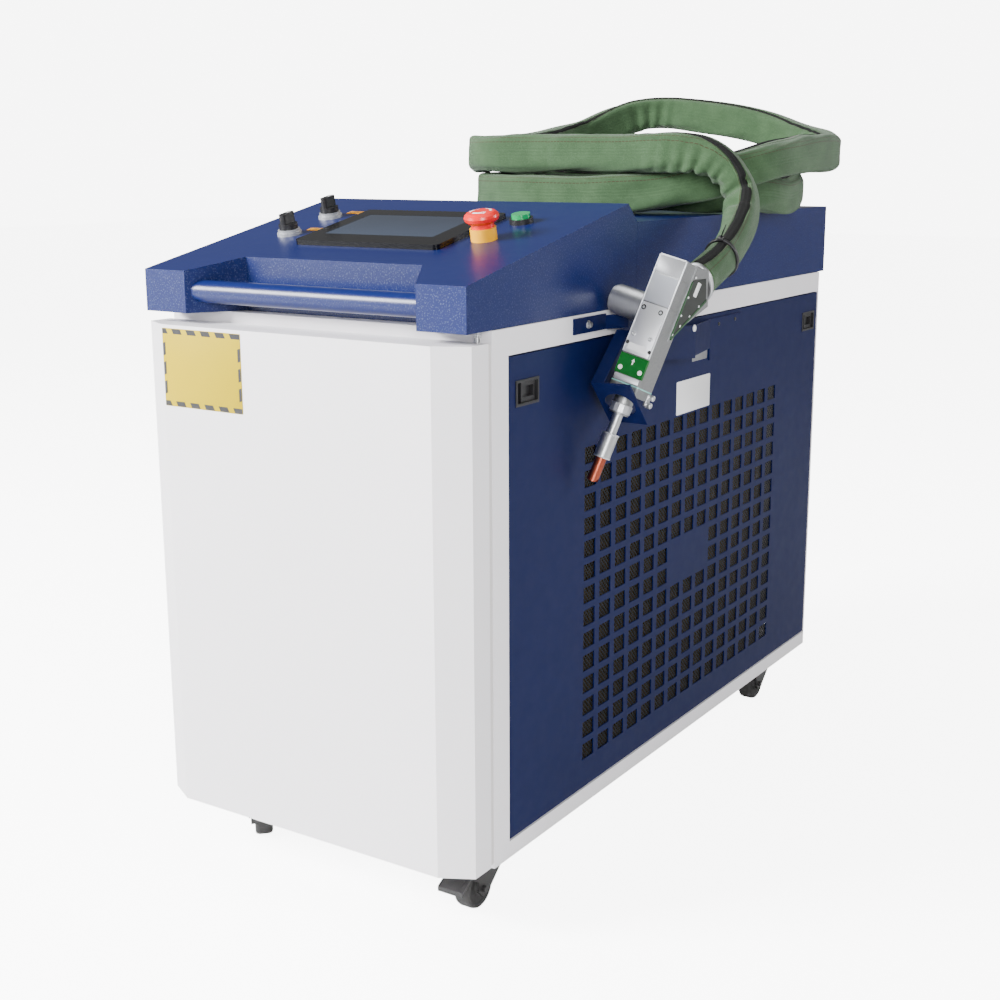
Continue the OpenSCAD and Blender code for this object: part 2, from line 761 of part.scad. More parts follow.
// Casters: a plate with its kingpin, a fork and a wheel
plate_l = 64;
plate_w = 52;
plate_t = 3;
race_r = 21;
race_h = 6;
kingpin_r = 5;
kingpin_head_r = 8;
kingpin_head_h = 4;
fork_t = 2.5;
crown_t = 4;
axle_r = 4;
wheel_side = 1.2;
fork_in = wheel_w / 2 + wheel_side;
fork_out = fork_in + fork_t;
fork_top = caster_h - plate_t - race_h - seat;
brake_y = -52;
brake_z = 50;
brake_pin_r = 2.5;
pin_back = 1;
pin_y = brake_y - pin_back;
pin_z = brake_z + seat;
wheel_r = wheel_d / 2;
function caster_place(i) = [
    (i % 2 == 0 ? -1 : 1) * caster_x, i < 2 ? caster_front_y : frame_l - caster_rear_y, 0
];
module caster(i) {
    translate(caster_place(i)) rotate(i == 0 ? front_left_turn : 0) children();
}
module caster_plates() {
    placed() color(black) for (i = [0 : 3]) translate(caster_place(i)) {
        box([-plate_w / 2, -plate_l / 2, caster_h - plate_t], [plate_w / 2, plate_l / 2, caster_h]);
        translate([0, 0, caster_h - plate_t - race_h]) cylinder(r = race_r, h = race_h + over);
        translate([0, 0, fork_top - crown_t - seat]) cylinder(r = kingpin_r, h = crown_t + 2 * seat + over);
        translate([0, 0, fork_top - crown_t - seat - kingpin_head_h])
            cylinder(r = kingpin_head_r, h = kingpin_head_h + seat / 2);
    }
}
module fork(braked) {
    ear_y = brake_y - 2 * brake_pin_r;
    ear = braked ? [[ear_y, fork_top - crown_t], [ear_y, brake_z - 2 * brake_pin_r]] : [];
    leg = concat(
        [[race_r * 0.8, fork_top - crown_t], [race_r * 0.7, fork_top - 3 * crown_t],
         [3 * axle_r - caster_trail, wheel_r - 1.5 * axle_r], [-caster_trail, wheel_r - 2.4 * axle_r],
         [-caster_trail - 2.4 * axle_r, wheel_r], [-caster_trail - 2.6 * axle_r, wheel_r + 3 * axle_r]],
        [for (i = [len(ear) - 1 : -1 : 0]) ear[i]],
        braked ? [] : [[-caster_trail - 1.5 * axle_r, fork_top - crown_t]]
    );
    difference() {
        union() {
            box([-fork_out, (braked ? brake_y + 2 * brake_pin_r : -caster_trail), fork_top - crown_t],
                [fork_out, race_r * 0.8, fork_top]);
            for (side = [-1, 1])
                along_x(min(side * fork_in, side * fork_out), max(side * fork_in, side * fork_out))
                polygon(leg);
        }
        translate([0, 0, fork_top - 2 * crown_t]) cylinder(r = kingpin_r + run_fit, h = 3 * crown_t);
    }
    translate([-fork_out - 2 * frame_sheet, -caster_trail, wheel_r]) rotate([0, 90, 0])
        cylinder(r = axle_r, h = 2 * fork_out + 4 * frame_sheet);
    if (braked) translate([-fork_out, pin_y, pin_z]) rotate([0, 90, 0])
        cylinder(r = brake_pin_r, h = 2 * fork_out);
}
module fork_front_left() {
    placed() color(black) caster(0) fork(true);
}
module fork_front_right() {
    placed() color(black) caster(1) fork(true);
}
module fork_rear_left() {
    placed() color(black) caster(2) fork(false);
}
module fork_rear_right() {
    placed() color(black) caster(3) fork(false);
}
tread_round = 3;
module wheel() {
    translate([0, -caster_trail, wheel_r]) rotate([0, 90, 0]) rotate_extrude() polygon([
        [axle_r + run_fit, -wheel_w / 2], [2.2 * axle_r, -wheel_w / 2],
        [2.6 * axle_r, tread_round - wheel_w / 2], [wheel_r - 2 * tread_round, tread_round - wheel_w / 2],
        [wheel_r - tread_round, -wheel_w / 2], [wheel_r - tread_round / 3, (tread_round - wheel_w) / 2],
        [wheel_r, 1.6 * tread_round - wheel_w / 2], [wheel_r, wheel_w / 2 - 1.6 * tread_round],
        [wheel_r - tread_round / 3, (wheel_w - tread_round) / 2],
        [wheel_r - tread_round, wheel_w / 2], [wheel_r - 2 * tread_round, wheel_w / 2 - tread_round],
        [2.6 * axle_r, wheel_w / 2 - tread_round], [2.2 * axle_r, wheel_w / 2],
        [axle_r + run_fit, wheel_w / 2]
    ]);
}
module wheel_front_left() {
    placed() color(black) caster(0) wheel();
}
module wheel_front_right() {
    placed() color(black) caster(1) wheel();
}
module wheel_rear_left() {
    placed() color(black) caster(2) wheel();
}
module wheel_rear_right() {
    placed() color(black) caster(3) wheel();
}

// Brake pedals on the front casters' forks
pedal_hub_r = 5;
pedal_reach = 80;
pedal_w = 34;
pedal_t = 3;
module brake_pedal() {
    arm_w = 2 * (fork_in - seat);
    end_z = pin_z - 2 * pedal_hub_r;
    difference() {
        union() {
            translate([-arm_w / 2, pin_y, pin_z]) rotate([0, 90, 0]) cylinder(r = pedal_hub_r, h = arm_w);
            along_x(-arm_w / 2, arm_w / 2) polygon([
                [pin_y, pin_z + pedal_hub_r], [pin_y - 2 * pedal_t, pin_z + pedal_t], [-pedal_reach, end_z],
                [-pedal_reach, end_z - pedal_t], [pin_y - 2 * pedal_t, pin_z - pedal_t],
                [pin_y, pin_z - pedal_hub_r]
            ]);
            along_x(-pedal_w / 2, pedal_w / 2) polygon([
                [brake_y - 4 * brake_pin_r, pin_z], [-pedal_reach, end_z],
                [-pedal_reach, end_z - 2 * pedal_t], [brake_y - 4 * brake_pin_r, pin_z - pedal_t]
            ]);
        }
        translate([-arm_w, pin_y, pin_z]) rotate([0, 90, 0])
            cylinder(r = brake_pin_r + run_fit, h = 2 * arm_w);
    }
}
module brake_pedal_left() {
    placed() color(black) caster(0) brake_pedal();
}
module brake_pedal_right() {
    placed() color(black) caster(1) brake_pedal();
}

// Gun holder: a folded sheet on the right side, with a tilted end plate that the nozzle passes through
holder_tilt = 41;
holder_rest = 21.5;
hole_back = 3.5;
holder_flange = 16;
holder_x = half_w + holder_standoff;
rail_foot_x = half_w + seat;
rail_foot_up = 8;
rail_foot_z = z_rail + rail_foot_up;
rail_foot_h = 18;
panel_foot_x = panel_x + seat;
panel_foot_down = 60;
panel_foot_z = panel_high - panel_foot_down;
panel_foot_h = 55;
panel_foot_l = 98;
rest_y = gun_corner[1];
rest_z = gun_corner[2] - gun_w * sin(gun_lean_out);
lip_y = rest_y - cos(holder_tilt) * (seat + holder_sheet) - sin(holder_tilt) * holder_rest;
lip_z = rest_z - sin(holder_tilt) * (seat + holder_sheet) + cos(holder_tilt) * holder_rest;
axis_low = gun_corner + gun_turn([axis_x, axis_y, 0]) - [0, rest_y, rest_z];
axis_way = gun_turn([0, 0, 1]);
plate_out = [0, cos(holder_tilt), sin(holder_tilt)];
axis_down = (seat + axis_low * plate_out) / (axis_way * plate_out);
hole_in = holder_rest - hole_back
    + (axis_low - axis_down * axis_way) * [0, sin(holder_tilt), -cos(holder_tilt)];
cup_low_y = lip_y + sin(holder_tilt) * holder_cup_l;
cup_low_z = lip_z - cos(holder_tilt) * holder_cup_l;
arm_top = 43;
arm_notch = 68;
arm_mid = 107;
arm_belly = 151;
arm_end = 250;
arm_rise = 5;
arm_fall = 3;
arm_dip = 4;
foot_reach = 14;
arm_top_y = rest_y + arm_top;
arm_notch_y = rest_y + arm_notch;
arm_mid_y = rest_y + arm_mid;
arm_end_y = rest_y + arm_end;
joggle_l = 78;
panel_foot_y = arm_end_y + joggle_l;
module gun_holder() {
    placed() color(powder_blue) {
        translate([0, lip_y, lip_z]) rotate([holder_tilt - 90, 0, 0]) linear_extrude(holder_sheet)
            difference() {
            translate([holder_x, 0]) square([holder_cup_w, holder_cup_l]);
            translate([gun_corner[0] + gun_turn([axis_x, axis_y, -axis_down])[0], hole_in])
                circle(d = holder_hole_d);
        }
        along_x(holder_x, holder_x + holder_sheet) polygon([
            [lip_y, lip_z], [cup_low_y, cup_low_z],
            [rest_y + arm_belly, panel_foot_z + holder_flange + arm_rise],
            [arm_end_y, panel_foot_z + holder_flange - arm_fall], [arm_end_y, panel_foot_z + panel_foot_h],
            [arm_mid_y, rail_foot_z - arm_dip], [arm_mid_y, rail_foot_z + holder_flange],
            [arm_notch_y, rail_foot_z + holder_flange], [arm_notch_y, rail_foot_z], [arm_top_y, rail_foot_z]
        ]);
        along_x(holder_x, holder_x + holder_flange) polygon([
            [lip_y, lip_z], [lip_y + holder_sheet, lip_z],
            [arm_top_y + holder_sheet, rail_foot_z], [arm_top_y, rail_foot_z]
        ]);
        box([rail_foot_x, lip_y - foot_reach, rail_foot_z],
            [rail_foot_x + holder_sheet, arm_top_y, rail_foot_z + rail_foot_h]);
        translate([0, 0, rail_foot_z]) linear_extrude(holder_flange) polygon([
            [rail_foot_x, arm_top_y - over], [rail_foot_x + holder_sheet, arm_top_y - over],
            [holder_x + holder_sheet, arm_notch_y], [holder_x + holder_sheet, arm_notch_y + over],
            [holder_x, arm_notch_y + over], [holder_x, arm_notch_y], [rail_foot_x, arm_top_y]
        ]);
        translate([0, 0, panel_foot_z + holder_flange]) linear_extrude(panel_foot_h - holder_flange)
            polygon([
            [holder_x, arm_end_y - over], [holder_x + holder_sheet, arm_end_y - over],
            [panel_foot_x + holder_sheet, panel_foot_y], [panel_foot_x + holder_sheet, panel_foot_y + over],
            [panel_foot_x, panel_foot_y + over], [panel_foot_x, panel_foot_y], [holder_x, arm_end_y]
        ]);
        box([panel_foot_x, panel_foot_y, panel_foot_z],
            [panel_foot_x + holder_sheet, panel_foot_y + panel_foot_l, panel_foot_z + panel_foot_h]);
    }
}

// Gun housing with its drawer pocket and the collet below
silver = [0.8, 0.81, 0.83];
gun_chamfer = 1.5;
groove_z = [106, 140];
groove_d = 0.6;
collet_l = 24;
collet_r = 11.5;
neck_l = 4;
neck_r = 9.5;
drawer_z = 20.2;
drawer_t = 4;
drawer_side = 5;
drawer_l = 34;
drawer_rail = 2;
tube_in = 2;
nozzle_up = 15;
module gun_outline(inset) {
    far_x = gun_w - inset;
    far_y = gun_d - inset;
    near = inset + gun_chamfer;
    polygon([
        [near, inset], [far_x - gun_chamfer, inset], [far_x, near], [far_x, far_y - gun_chamfer],
        [far_x - gun_chamfer, far_y], [near, far_y], [inset, far_y - gun_chamfer], [inset, near]
    ]);
}
module gun_body() {
    placed() color(silver) gun_place() difference() {
        union() {
            linear_extrude(gun_l) gun_outline(0);
            translate([axis_x, axis_y, -collet_l]) cylinder(r = collet_r, h = collet_l - neck_l);
            translate([axis_x, axis_y, -neck_l - over]) cylinder(r = neck_r, h = neck_l + 2 * over);
        }
        for (z = groove_z) translate([0, 0, z]) linear_extrude(groove_d) difference() {
            translate([-over, -over]) square([gun_w + 2 * over, gun_d + 2 * over]);
            gun_outline(groove_d);
        }
        box([-over, -over, drawer_z - slip], [gun_w + over, drawer_t + slip, drawer_z + drawer_h + slip]);
        box([drawer_side, 0, drawer_z + drawer_rail - slip],
            [gun_w - drawer_side, drawer_l + 2 * slip, drawer_z + drawer_h - drawer_rail + slip]);
        translate([axis_x, axis_y, -collet_l - over])
            cylinder(r = tube_d / 2 + run_fit, h = collet_l + nozzle_up + tube_in + over + slip);
    }
}
motor_y = 22;
motor_z = 100;
motor_cap = 4;
module gun_motor() {
    placed() color(grey) gun_place() translate([0, motor_y, motor_z]) rotate([0, -90, 0]) {
        cylinder(d = motor_d, h = motor_l - motor_cap);
        cylinder(d = motor_d - motor_cap, h = motor_l);
    }
}

// Gun handle: a hollow wedge from the housing to the hose's oval collar
collar_y = 84;
collar_z = 150;
collar_half = 25;
collar_lean = 45;
collar_l = 8;
collar_rx = 20.5;
collar_ry = 26;
handle_wall = 3;
handle_low = 88;
side_plate = 1.5;
heel = [collar_y + collar_half * sin(collar_lean), collar_z - collar_half * cos(collar_lean)];
toe = [collar_y - collar_half * sin(collar_lean), collar_z + collar_half * cos(collar_lean)];
plate_lap = 15;
plate_trim = 7;
plate_toe = [toe[0] - plate_trim, toe[1]];
plate_heel = [heel[0] - 2 * plate_trim, heel[1] + plate_trim];
module handle_outline() {
    polygon([[gun_d, handle_low], [gun_d, gun_l], toe, heel]);
}
trigger_angle = atan2(heel[1] - handle_low, heel[0] - gun_d);
trigger_l = 24;
trigger_w = 12;
trigger_out = 6;
trigger_in = 7;
trigger_travel = 3;
module trigger_place() {
    translate([axis_x, (gun_d + heel[0]) / 2, (handle_low + heel[1]) / 2])
        rotate([trigger_angle, 0, 0]) children();
}
module gun_handle() {
    placed() color(silver) gun_place() {
        difference() {
            union() {
                along_x(0, gun_w) handle_outline();
                translate([axis_x, collar_y, collar_z]) rotate([-collar_lean, 0, 0])
                    translate([0, 0, -over])
                    linear_extrude(collar_l + over) scale([collar_rx / collar_ry, 1]) circle(collar_ry);
            }
            along_x(handle_wall, gun_w - handle_wall) offset(delta = -handle_wall) handle_outline();
            translate([axis_x, collar_y, collar_z]) rotate([-collar_lean, 0, 0])
                translate([0, 0, -2 * handle_wall])
                cylinder(r = axis_x - handle_wall, h = 2 * handle_wall + collar_l + over);
            trigger_place() box([-trigger_w / 2 - slip, -trigger_l / 2 - slip, -2 * handle_wall],
                [trigger_w / 2 + slip, trigger_l / 2 + slip, 2 * handle_wall]);
        }
        color(black) along_x(gun_w, gun_w + side_plate) polygon([
            [gun_d - plate_lap, handle_low - plate_lap], [gun_d - plate_lap, gun_l], plate_toe, plate_heel
        ]);
        color(black) along_x(-side_plate, 0) polygon([
            [gun_d, handle_low - plate_lap / 2], [gun_d, gun_l], plate_toe, plate_heel
        ]);
    }
}
module gun_trigger() {
    bevel = trigger_out / 2;
    placed() color(black) gun_place() trigger_place() along_x(-trigger_w / 2, trigger_w / 2) polygon([
        [-trigger_l / 2, trigger_in], [-trigger_l / 2, -bevel], [bevel - trigger_l / 2, -trigger_out],
        [trigger_l / 2 - bevel, -trigger_out], [trigger_l / 2, -bevel], [trigger_l / 2, trigger_in]
    ]);
}
lens_hole_r = 10;
module lens_drawer() {
    placed() color([0.1, 0.4, 0.15]) gun_place() difference() {
        union() {
            box([0, 0, drawer_z], [gun_w, drawer_t, drawer_z + drawer_h]);
            box([drawer_side + slip, drawer_t - over, drawer_z + drawer_rail],
                [gun_w - drawer_side - slip, drawer_l, drawer_z + drawer_h - drawer_rail]);
        }
        translate([axis_x, axis_y + drawer_t, drawer_z - over])
            cylinder(r = lens_hole_r, h = drawer_h + 2 * over);
    }
}

// Nozzle: sliding tube, wide sleeve and copper tip with its notch
sleeve_top = -48;
sleeve_low = -77;
nozzle_sleeve_r = 9.75;
tip_r = 6.5;
notch = 5;
gas_r = 2.5;
module nozzle() {
    placed() gun_place() translate([axis_x, axis_y, 0]) difference() {
        union() {
            color(steel) translate([0, 0, sleeve_top - over])
                cylinder(d = tube_d, h = tube_in + over - sleeve_top);
            color(steel) translate([0, 0, sleeve_low])
                cylinder(r = nozzle_sleeve_r, h = sleeve_top - sleeve_low);
            color([0.72, 0.43, 0.33]) translate([0, 0, -tip_reach])
                cylinder(r = tip_r, h = tip_reach + sleeve_low + over);
        }
        translate([0, 0, -tip_reach - over]) cylinder(r = gas_r, h = tip_reach + tube_in + 2 * over);
        translate([0, 0, -tip_reach]) along_x(-2 * tip_r, 2 * tip_r)
            polygon([[-notch, -over], [notch, -over], [0, notch]]);
    }
}

// Cooling unit: condenser with its fins, shroud with the fan's motor, rotor, compressor, tank and pump
fin_t = 1.2;
end_t = 3;
bar_h = 12;
window_count = 3;
bend_r = 18;
bend_tube_r = 4.5;
bend_count = 4;
condenser_back = 21;
condenser_out = half_w - condenser_back;
condenser_in = condenser_out - condenser_t;
condenser_y = [vent_start_y - vent_margin, vent_end_y + vent_margin];
source_room = 10;
shelf_z = z_rail - source_h - source_room;
shelf_flange = 12;
condenser_z = [
    z_pan + seat,
    min(vent_end_z + vent_margin - over, shelf_z - shelf_flange - 2 * frame_sheet)
];
fin_pitch = (condenser_y[1] - condenser_y[0] - 2 * end_t) / (fin_count + 1);
window_h = (condenser_z[1] - condenser_z[0] - bar_h) / window_count;
bend_pitch = (condenser_z[1] - condenser_z[0]) / (bend_count + 1);
module condenser() {
    placed() color([0.6, 0.45, 0.28]) {
        difference() {
            translate([0, 0, condenser_z[0]]) linear_extrude(condenser_z[1] - condenser_z[0]) {
                translate([condenser_in, condenser_y[0]]) square([end_t, condenser_y[1] - condenser_y[0]]);
                for (i = [1 : fin_count])
                    translate([condenser_in, condenser_y[0] + end_t + i * fin_pitch - fin_t / 2])
                    square([condenser_t, fin_t]);
            }
            for (i = [0 : window_count - 1])
                box([condenser_in - over, condenser_y[0] + end_t, condenser_z[0] + bar_h + i * window_h],
                    [condenser_in + end_t, condenser_y[1] - end_t, condenser_z[0] + (i + 1) * window_h]);
        }
        for (y = [condenser_y[0], condenser_y[1] - end_t])
            box([condenser_in, y, condenser_z[0]], [condenser_out, y + end_t, condenser_z[1]]);
        for (i = [1 : bend_count])
            translate([condenser_in + condenser_t / 2, condenser_y[1] - over,
                condenser_z[0] + i * bend_pitch])
                rotate([0, 90, 0]) rotate_extrude(angle = 180, $fn = 32)
                    translate([bend_r, 0]) circle(bend_tube_r, $fn = 32);
    }
}
shroud_d = 44;
fan_gap = 3;
shroud_out = condenser_in - seat;
shroud_in = shroud_out - shroud_d;
fan_y = (condenser_y[0] + condenser_y[1]) / 2;
fan_z = (condenser_z[0] + condenser_z[1]) / 2;
fan_motor_r = 32;
fan_motor_l = 40;
fan_motor_back = 8;
fan_motor_x = [shroud_in - fan_motor_back - fan_motor_l, shroud_in - fan_motor_back];
shaft_r = 4;
strut_w = 14;
strut_t = 3;
strut_r = fan_d / 2 + strut_w;
module fan_shroud() {
    placed() color(steel) translate([0, fan_y, fan_z]) {
        half_l = (condenser_y[1] - condenser_y[0]) / 2;
        half_h = (condenser_z[1] - condenser_z[0]) / 2;
        difference() {
            box([shroud_in, -half_l, -half_h], [shroud_out, half_l, half_h]);
            box([shroud_in + frame_sheet, frame_sheet - half_l, frame_sheet - half_h],
                [shroud_out + over, half_l - frame_sheet, half_h - frame_sheet]);
            translate([shroud_in - over, 0, 0]) rotate([0, 90, 0])
                cylinder(r = fan_d / 2 + fan_gap, h = 2 * frame_sheet + over);
        }
        translate([fan_motor_x[0], 0, 0]) rotate([0, 90, 0]) cylinder(r = fan_motor_r, h = fan_motor_l);
        translate([fan_motor_x[1] - over, 0, 0]) rotate([0, 90, 0])
            cylinder(r = shaft_r, h = shroud_out - fan_motor_x[1] - 2 * frame_sheet);
        for (i = [0 : 2]) rotate([i * 120, 0, 0]) translate([fan_motor_x[1], 0, 0]) {
            box([-strut_t, -strut_w / 2, fan_motor_r - over], [0, strut_w / 2, strut_r]);
            box([-strut_t, -strut_w / 2, fan_d / 2 + 2 * fan_gap],
                [fan_motor_back + over, strut_w / 2, strut_r]);
        }
    }
}
blade_count = 7;
blade_tilt = 60;
blade_chord = 58;
blade_t = 3;
hub_r = 35;
hub_l = 34;
module fan_rotor() {
    hub_x = fan_motor_x[1] + frame_sheet;
    placed() color(black) translate([hub_x, fan_y, fan_z]) difference() {
        union() {
            rotate([0, 90, 0]) cylinder(r = hub_r, h = hub_l);
            for (i = [0 : blade_count - 1]) rotate([i * 360 / blade_count, 0, 0])
                translate([hub_l / 2, 0, hub_r - 2 * blade_t]) rotate([0, 0, blade_tilt])
                    translate([-blade_chord / 2, -blade_t / 2, 0])
                        cube([blade_chord, blade_t, fan_d / 2 - hub_r]);
        }
        translate([-over, 0, 0]) rotate([0, 90, 0]) cylinder(r = shaft_r + run_fit, h = hub_l + 2 * over);
    }
}
floor_z = caster_h + frame_sheet + seat;
compressor_x = -90;
compressor_y = 230;
foot_h = 10;
foot_r = 10;
body_h = 190;
accumulator_r = 22;
module compressor() {
    r = compressor_d / 2;
    placed() color(black) translate([compressor_x, compressor_y, floor_z]) {
        for (x = [-1, 1], y = [-1, 1]) translate([x * (r - foot_r), y * (r - foot_r), 0])
            cylinder(r = foot_r, h = foot_h);
        box([-r, -r, foot_h], [r, r, foot_h + frame_sheet]);
        translate([0, 0, foot_h]) rotate_extrude() polygon([
            [0, 0], [0.9 * r, 0], [r, 0.1 * r], [r, body_h - 0.5 * r], [0.9 * r, body_h - 0.25 * r],
            [0.6 * r, body_h - 0.05 * r], [0, body_h]
        ]);
        translate([r / 3, 0, body_h]) cylinder(r = bend_tube_r, h = 3 * foot_h);
        translate([-r - accumulator_r + over, 0, 3 * foot_h]) cylinder(r = accumulator_r, h = body_h / 2);
    }
}
tank_x = [-170, -20];
tank_y = 480;
tank_wall = 3;
tank_round = 14;
module water_tank() {
    w = tank_x[1] - tank_x[0];
    placed() color([0.9, 0.9, 0.88]) translate([tank_x[0] + w / 2, tank_y + tank_l / 2, floor_z])
        difference() {
        union() {
            linear_extrude(tank_h) rounded(w, tank_l, tank_round);
            translate([0, 0, tank_h - over]) cylinder(r = filler_hole_r, h = neck_in / 2);
            for (i = [1 : 3]) translate([0, 0, i * tank_h / 4]) linear_extrude(tank_wall)
                rounded(w + 2 * tank_wall, tank_l + 2 * tank_wall, tank_round + tank_wall);
        }
        translate([0, 0, tank_wall]) linear_extrude(tank_h - 2 * tank_wall)
            rounded(w - 2 * tank_wall, tank_l - 2 * tank_wall, tank_round - tank_wall);
        translate([0, 0, tank_h / 2]) cylinder(r = filler_hole_r - neck_wall, h = tank_h);
    }
}
pump_x = 60;
pump_y = 560;
pump_r = 34;
pump_l = 110;
volute_r = 40;
volute_l = 26;
module coolant_pump() {
    placed() color([0.25, 0.27, 0.3]) translate([pump_x, pump_y, floor_z]) {
        box([-volute_r, 0, 0], [volute_r, pump_l, frame_sheet * 3]);
        box([-pump_r / 2, volute_l, frame_sheet], [pump_r / 2, pump_l - volute_l, volute_r]);
        translate([0, 0, volute_r + 2 * frame_sheet]) rotate([-90, 0, 0]) {
            translate([0, 0, volute_l - over]) cylinder(r = pump_r, h = pump_l - volute_l);
            cylinder(r = volute_r, h = volute_l);
            translate([0, 0, -foot_h]) cylinder(r = foot_r, h = foot_h + over);
        }
        translate([volute_r - foot_r, volute_l / 2, volute_r]) cylinder(r = foot_r, h = 1.5 * volute_r);
    }
}

// Equipment shelf with the laser source and the power supply
shelf_margin = 17;
shelf_half = half_w - shelf_margin;
shelf_front = post_d + seat;
shelf_rear = frame_l - post_d - seat;
shelf_end = 28;
slot_l = 60;
slot_w = 24;
source_y = 60;
supply_gap = 28;
supply_y = source_y + source_l + 2 * fitting_l + supply_gap;
module equipment_shelf() {
    placed() color(powder_white) difference() {
        union() {
            box([-shelf_half, shelf_front, shelf_z - frame_sheet], [shelf_half, shelf_rear, shelf_z]);
            for (side = [0, 1]) mirror([side, 0, 0])
                box([shelf_half - frame_sheet, shelf_front, shelf_z - shelf_flange],
                    [shelf_half, shelf_rear, shelf_z]);
            for (y = [shelf_front, shelf_rear - frame_sheet])
                box([-shelf_half, y, shelf_z - shelf_end], [shelf_half, y + frame_sheet, shelf_z]);
        }
        for (x = [-1, 1], i = [0 : 3])
            translate([x * shelf_half / 2, source_y + source_l + (2 * i + 1) * slot_w, shelf_z])
            linear_extrude(4 * frame_sheet, center = true) square([slot_l, slot_w], center = true);
    }
}
rib_count = 8;
rib_d = 4;
module laser_source() {
    rib = source_h / (2 * rib_count + 1);
    placed() color(grey) translate([0, source_y, shelf_z + seat]) {
        difference() {
            box([-source_w / 2, 0, 0], [source_w / 2, source_l, source_h]);
            for (side = [0, 1], i = [0 : rib_count - 1]) mirror([side, 0, 0])
                box([source_w / 2 - rib_d, -over, (2 * i + 1) * rib],
                    [source_w / 2 + over, source_l + over, (2 * i + 2) * rib]);
        }
        for (x = [-1, 1]) translate([x * source_w / 4, source_l - over, source_h / 2]) rotate([-90, 0, 0])
            cylinder(r = gas_hole_r, h = fitting_l);
        translate([0, source_l - over, source_h / 2]) rotate([-90, 0, 0])
            cylinder(r1 = mains_hole_r, r2 = gas_hole_r, h = 2 * fitting_l);
    }
}
supply_h = 80;
supply_slots = 6;
module power_supply() {
    pitch = supply_l / (supply_slots + 4);
    placed() color(steel) translate([-supply_l / 2, supply_y, shelf_z + seat]) difference() {
        cube([supply_l, supply_w, supply_h]);
        for (i = [1 : supply_slots]) translate([(i + 2) * pitch, supply_w / 4, supply_h - panel_sheet])
            cube([pitch / 2, supply_w / 2, 2 * panel_sheet]);
        translate([-over, panel_sheet, supply_h / 3]) cube([pitch, supply_w - 2 * panel_sheet, supply_h]);
    }
}

// Hose: one tube swept along its route, oval in section, coiled on the rear cover
gland_top = z_cover_top + gland_h;
hose_low = z_cover_top + sleeve_h / 2 + seat;
layer_gap = 1.5;
hose_high = hose_low + sleeve_h + layer_gap;
loop_centre = [30, 690];
loop_half = [190, 230];
inner_share = 0.7;
overhang_low = 84;
overhang_high = 50;
arch_h = 64;
arch_turn = 468;
sag_h = 6;
loop_first = -60;
loop_last = 600;
loop_step = 15;
function ease(t) = let (c = min(max(t, 0), 1)) c * c * (3 - 2 * c);
function bell(v) = exp(-v * v);
function squared(v, share) = sign(v) * pow(abs(v), share);
function loop_share(a) = 0.8 - 0.17 * ease((a - 285) / 30) * (1 - ease((a - 440) / 60));
function loop_size(a) = inner_share + (1 - inner_share) * ease((a - 90) / 120);
function loop_over(a) = overhang_low * (1 - ease((a - 60) / 60))
    + overhang_high * ease((a - 290) / 60) * (1 - ease((a - 430) / 60));
function loop_point(a) = [
    loop_centre[0] + loop_half[0] * loop_size(a) * squared(cos(a), loop_share(a))
        + loop_over(a) * max(0, cos(a)),
    loop_centre[1] + loop_half[1] * loop_size(a) * squared(sin(a), loop_share(a)),
    hose_low + (hose_high - hose_low) * ease((a - 290) / 80)
        + arch_h * bell((a - arch_turn) / 45) - sag_h * bell(a / 8)
];
hose_start = [
    [gland_x, gland_y, gland_top], [gland_x, gland_y, gland_top + 30],
    [gland_x - 3, gland_y - 6, hose_low + 40],
    [gland_x - 16, gland_y - 32, hose_low + 53], [gland_x - 28, gland_y - 75, hose_low + 43],
    [gland_x - 20, gland_y - 120, hose_low + 17], [gland_x + 20, gland_y - 155, hose_low + 4],
    [gland_x + 80, gland_y - 172, hose_low + 2]
];
band_end = [200, 468, hose_high];
hose_band = [[20, 474, hose_high], [110, 470, hose_high], band_end];
band_next = band_end + [35, 6, -5];
coil_route = concat(hose_start, [for (a = [loop_first : loop_step : loop_last]) loop_point(a)], hose_band);

// The hose drops to the gun's collar and meets it square
function unit(v) = v / norm(v);
band_way = unit(band_next - hose_band[1]);
function gun_turn(p) = let (
    y = p[1] * cos(gun_lean_back) + p[2] * sin(gun_lean_back),
    z = p[2] * cos(gun_lean_back) - p[1] * sin(gun_lean_back)
) [p[0] * cos(gun_lean_out) + z * sin(gun_lean_out), y, z * cos(gun_lean_out) - p[0] * sin(gun_lean_out)];
collar_way = gun_turn([0, sin(collar_lean), cos(collar_lean)]);
collar_side = gun_turn([1, 0, 0]);
collar_end = gun_corner + gun_turn([
    axis_x, collar_y + collar_l * sin(collar_lean), collar_z + collar_l * cos(collar_lean)
]);
drop_points = [
    band_end + seat * band_way, band_next, band_end + [62, 16, -22], band_end + [80, 19, -48],
    band_end + [90, 2, -72], band_end + [98, -25, -92], band_end + [104, -60, -111],
    collar_end + sleeve_w * 1.1 * collar_way, collar_end + seat * collar_way
];
function smooth(p) = [
    for (i = [0 : len(p) - 1], half = [0, 1]) if (i + half < len(p))
        half == 0 ? p[i] : (i == 0 || i > len(p) - 3)
            ? (p[i] + p[i + 1]) / 2 : (9 * (p[i] + p[i + 1]) - p[i - 1] - p[i + 2]) / 16
];
drop_route = smooth(drop_points);

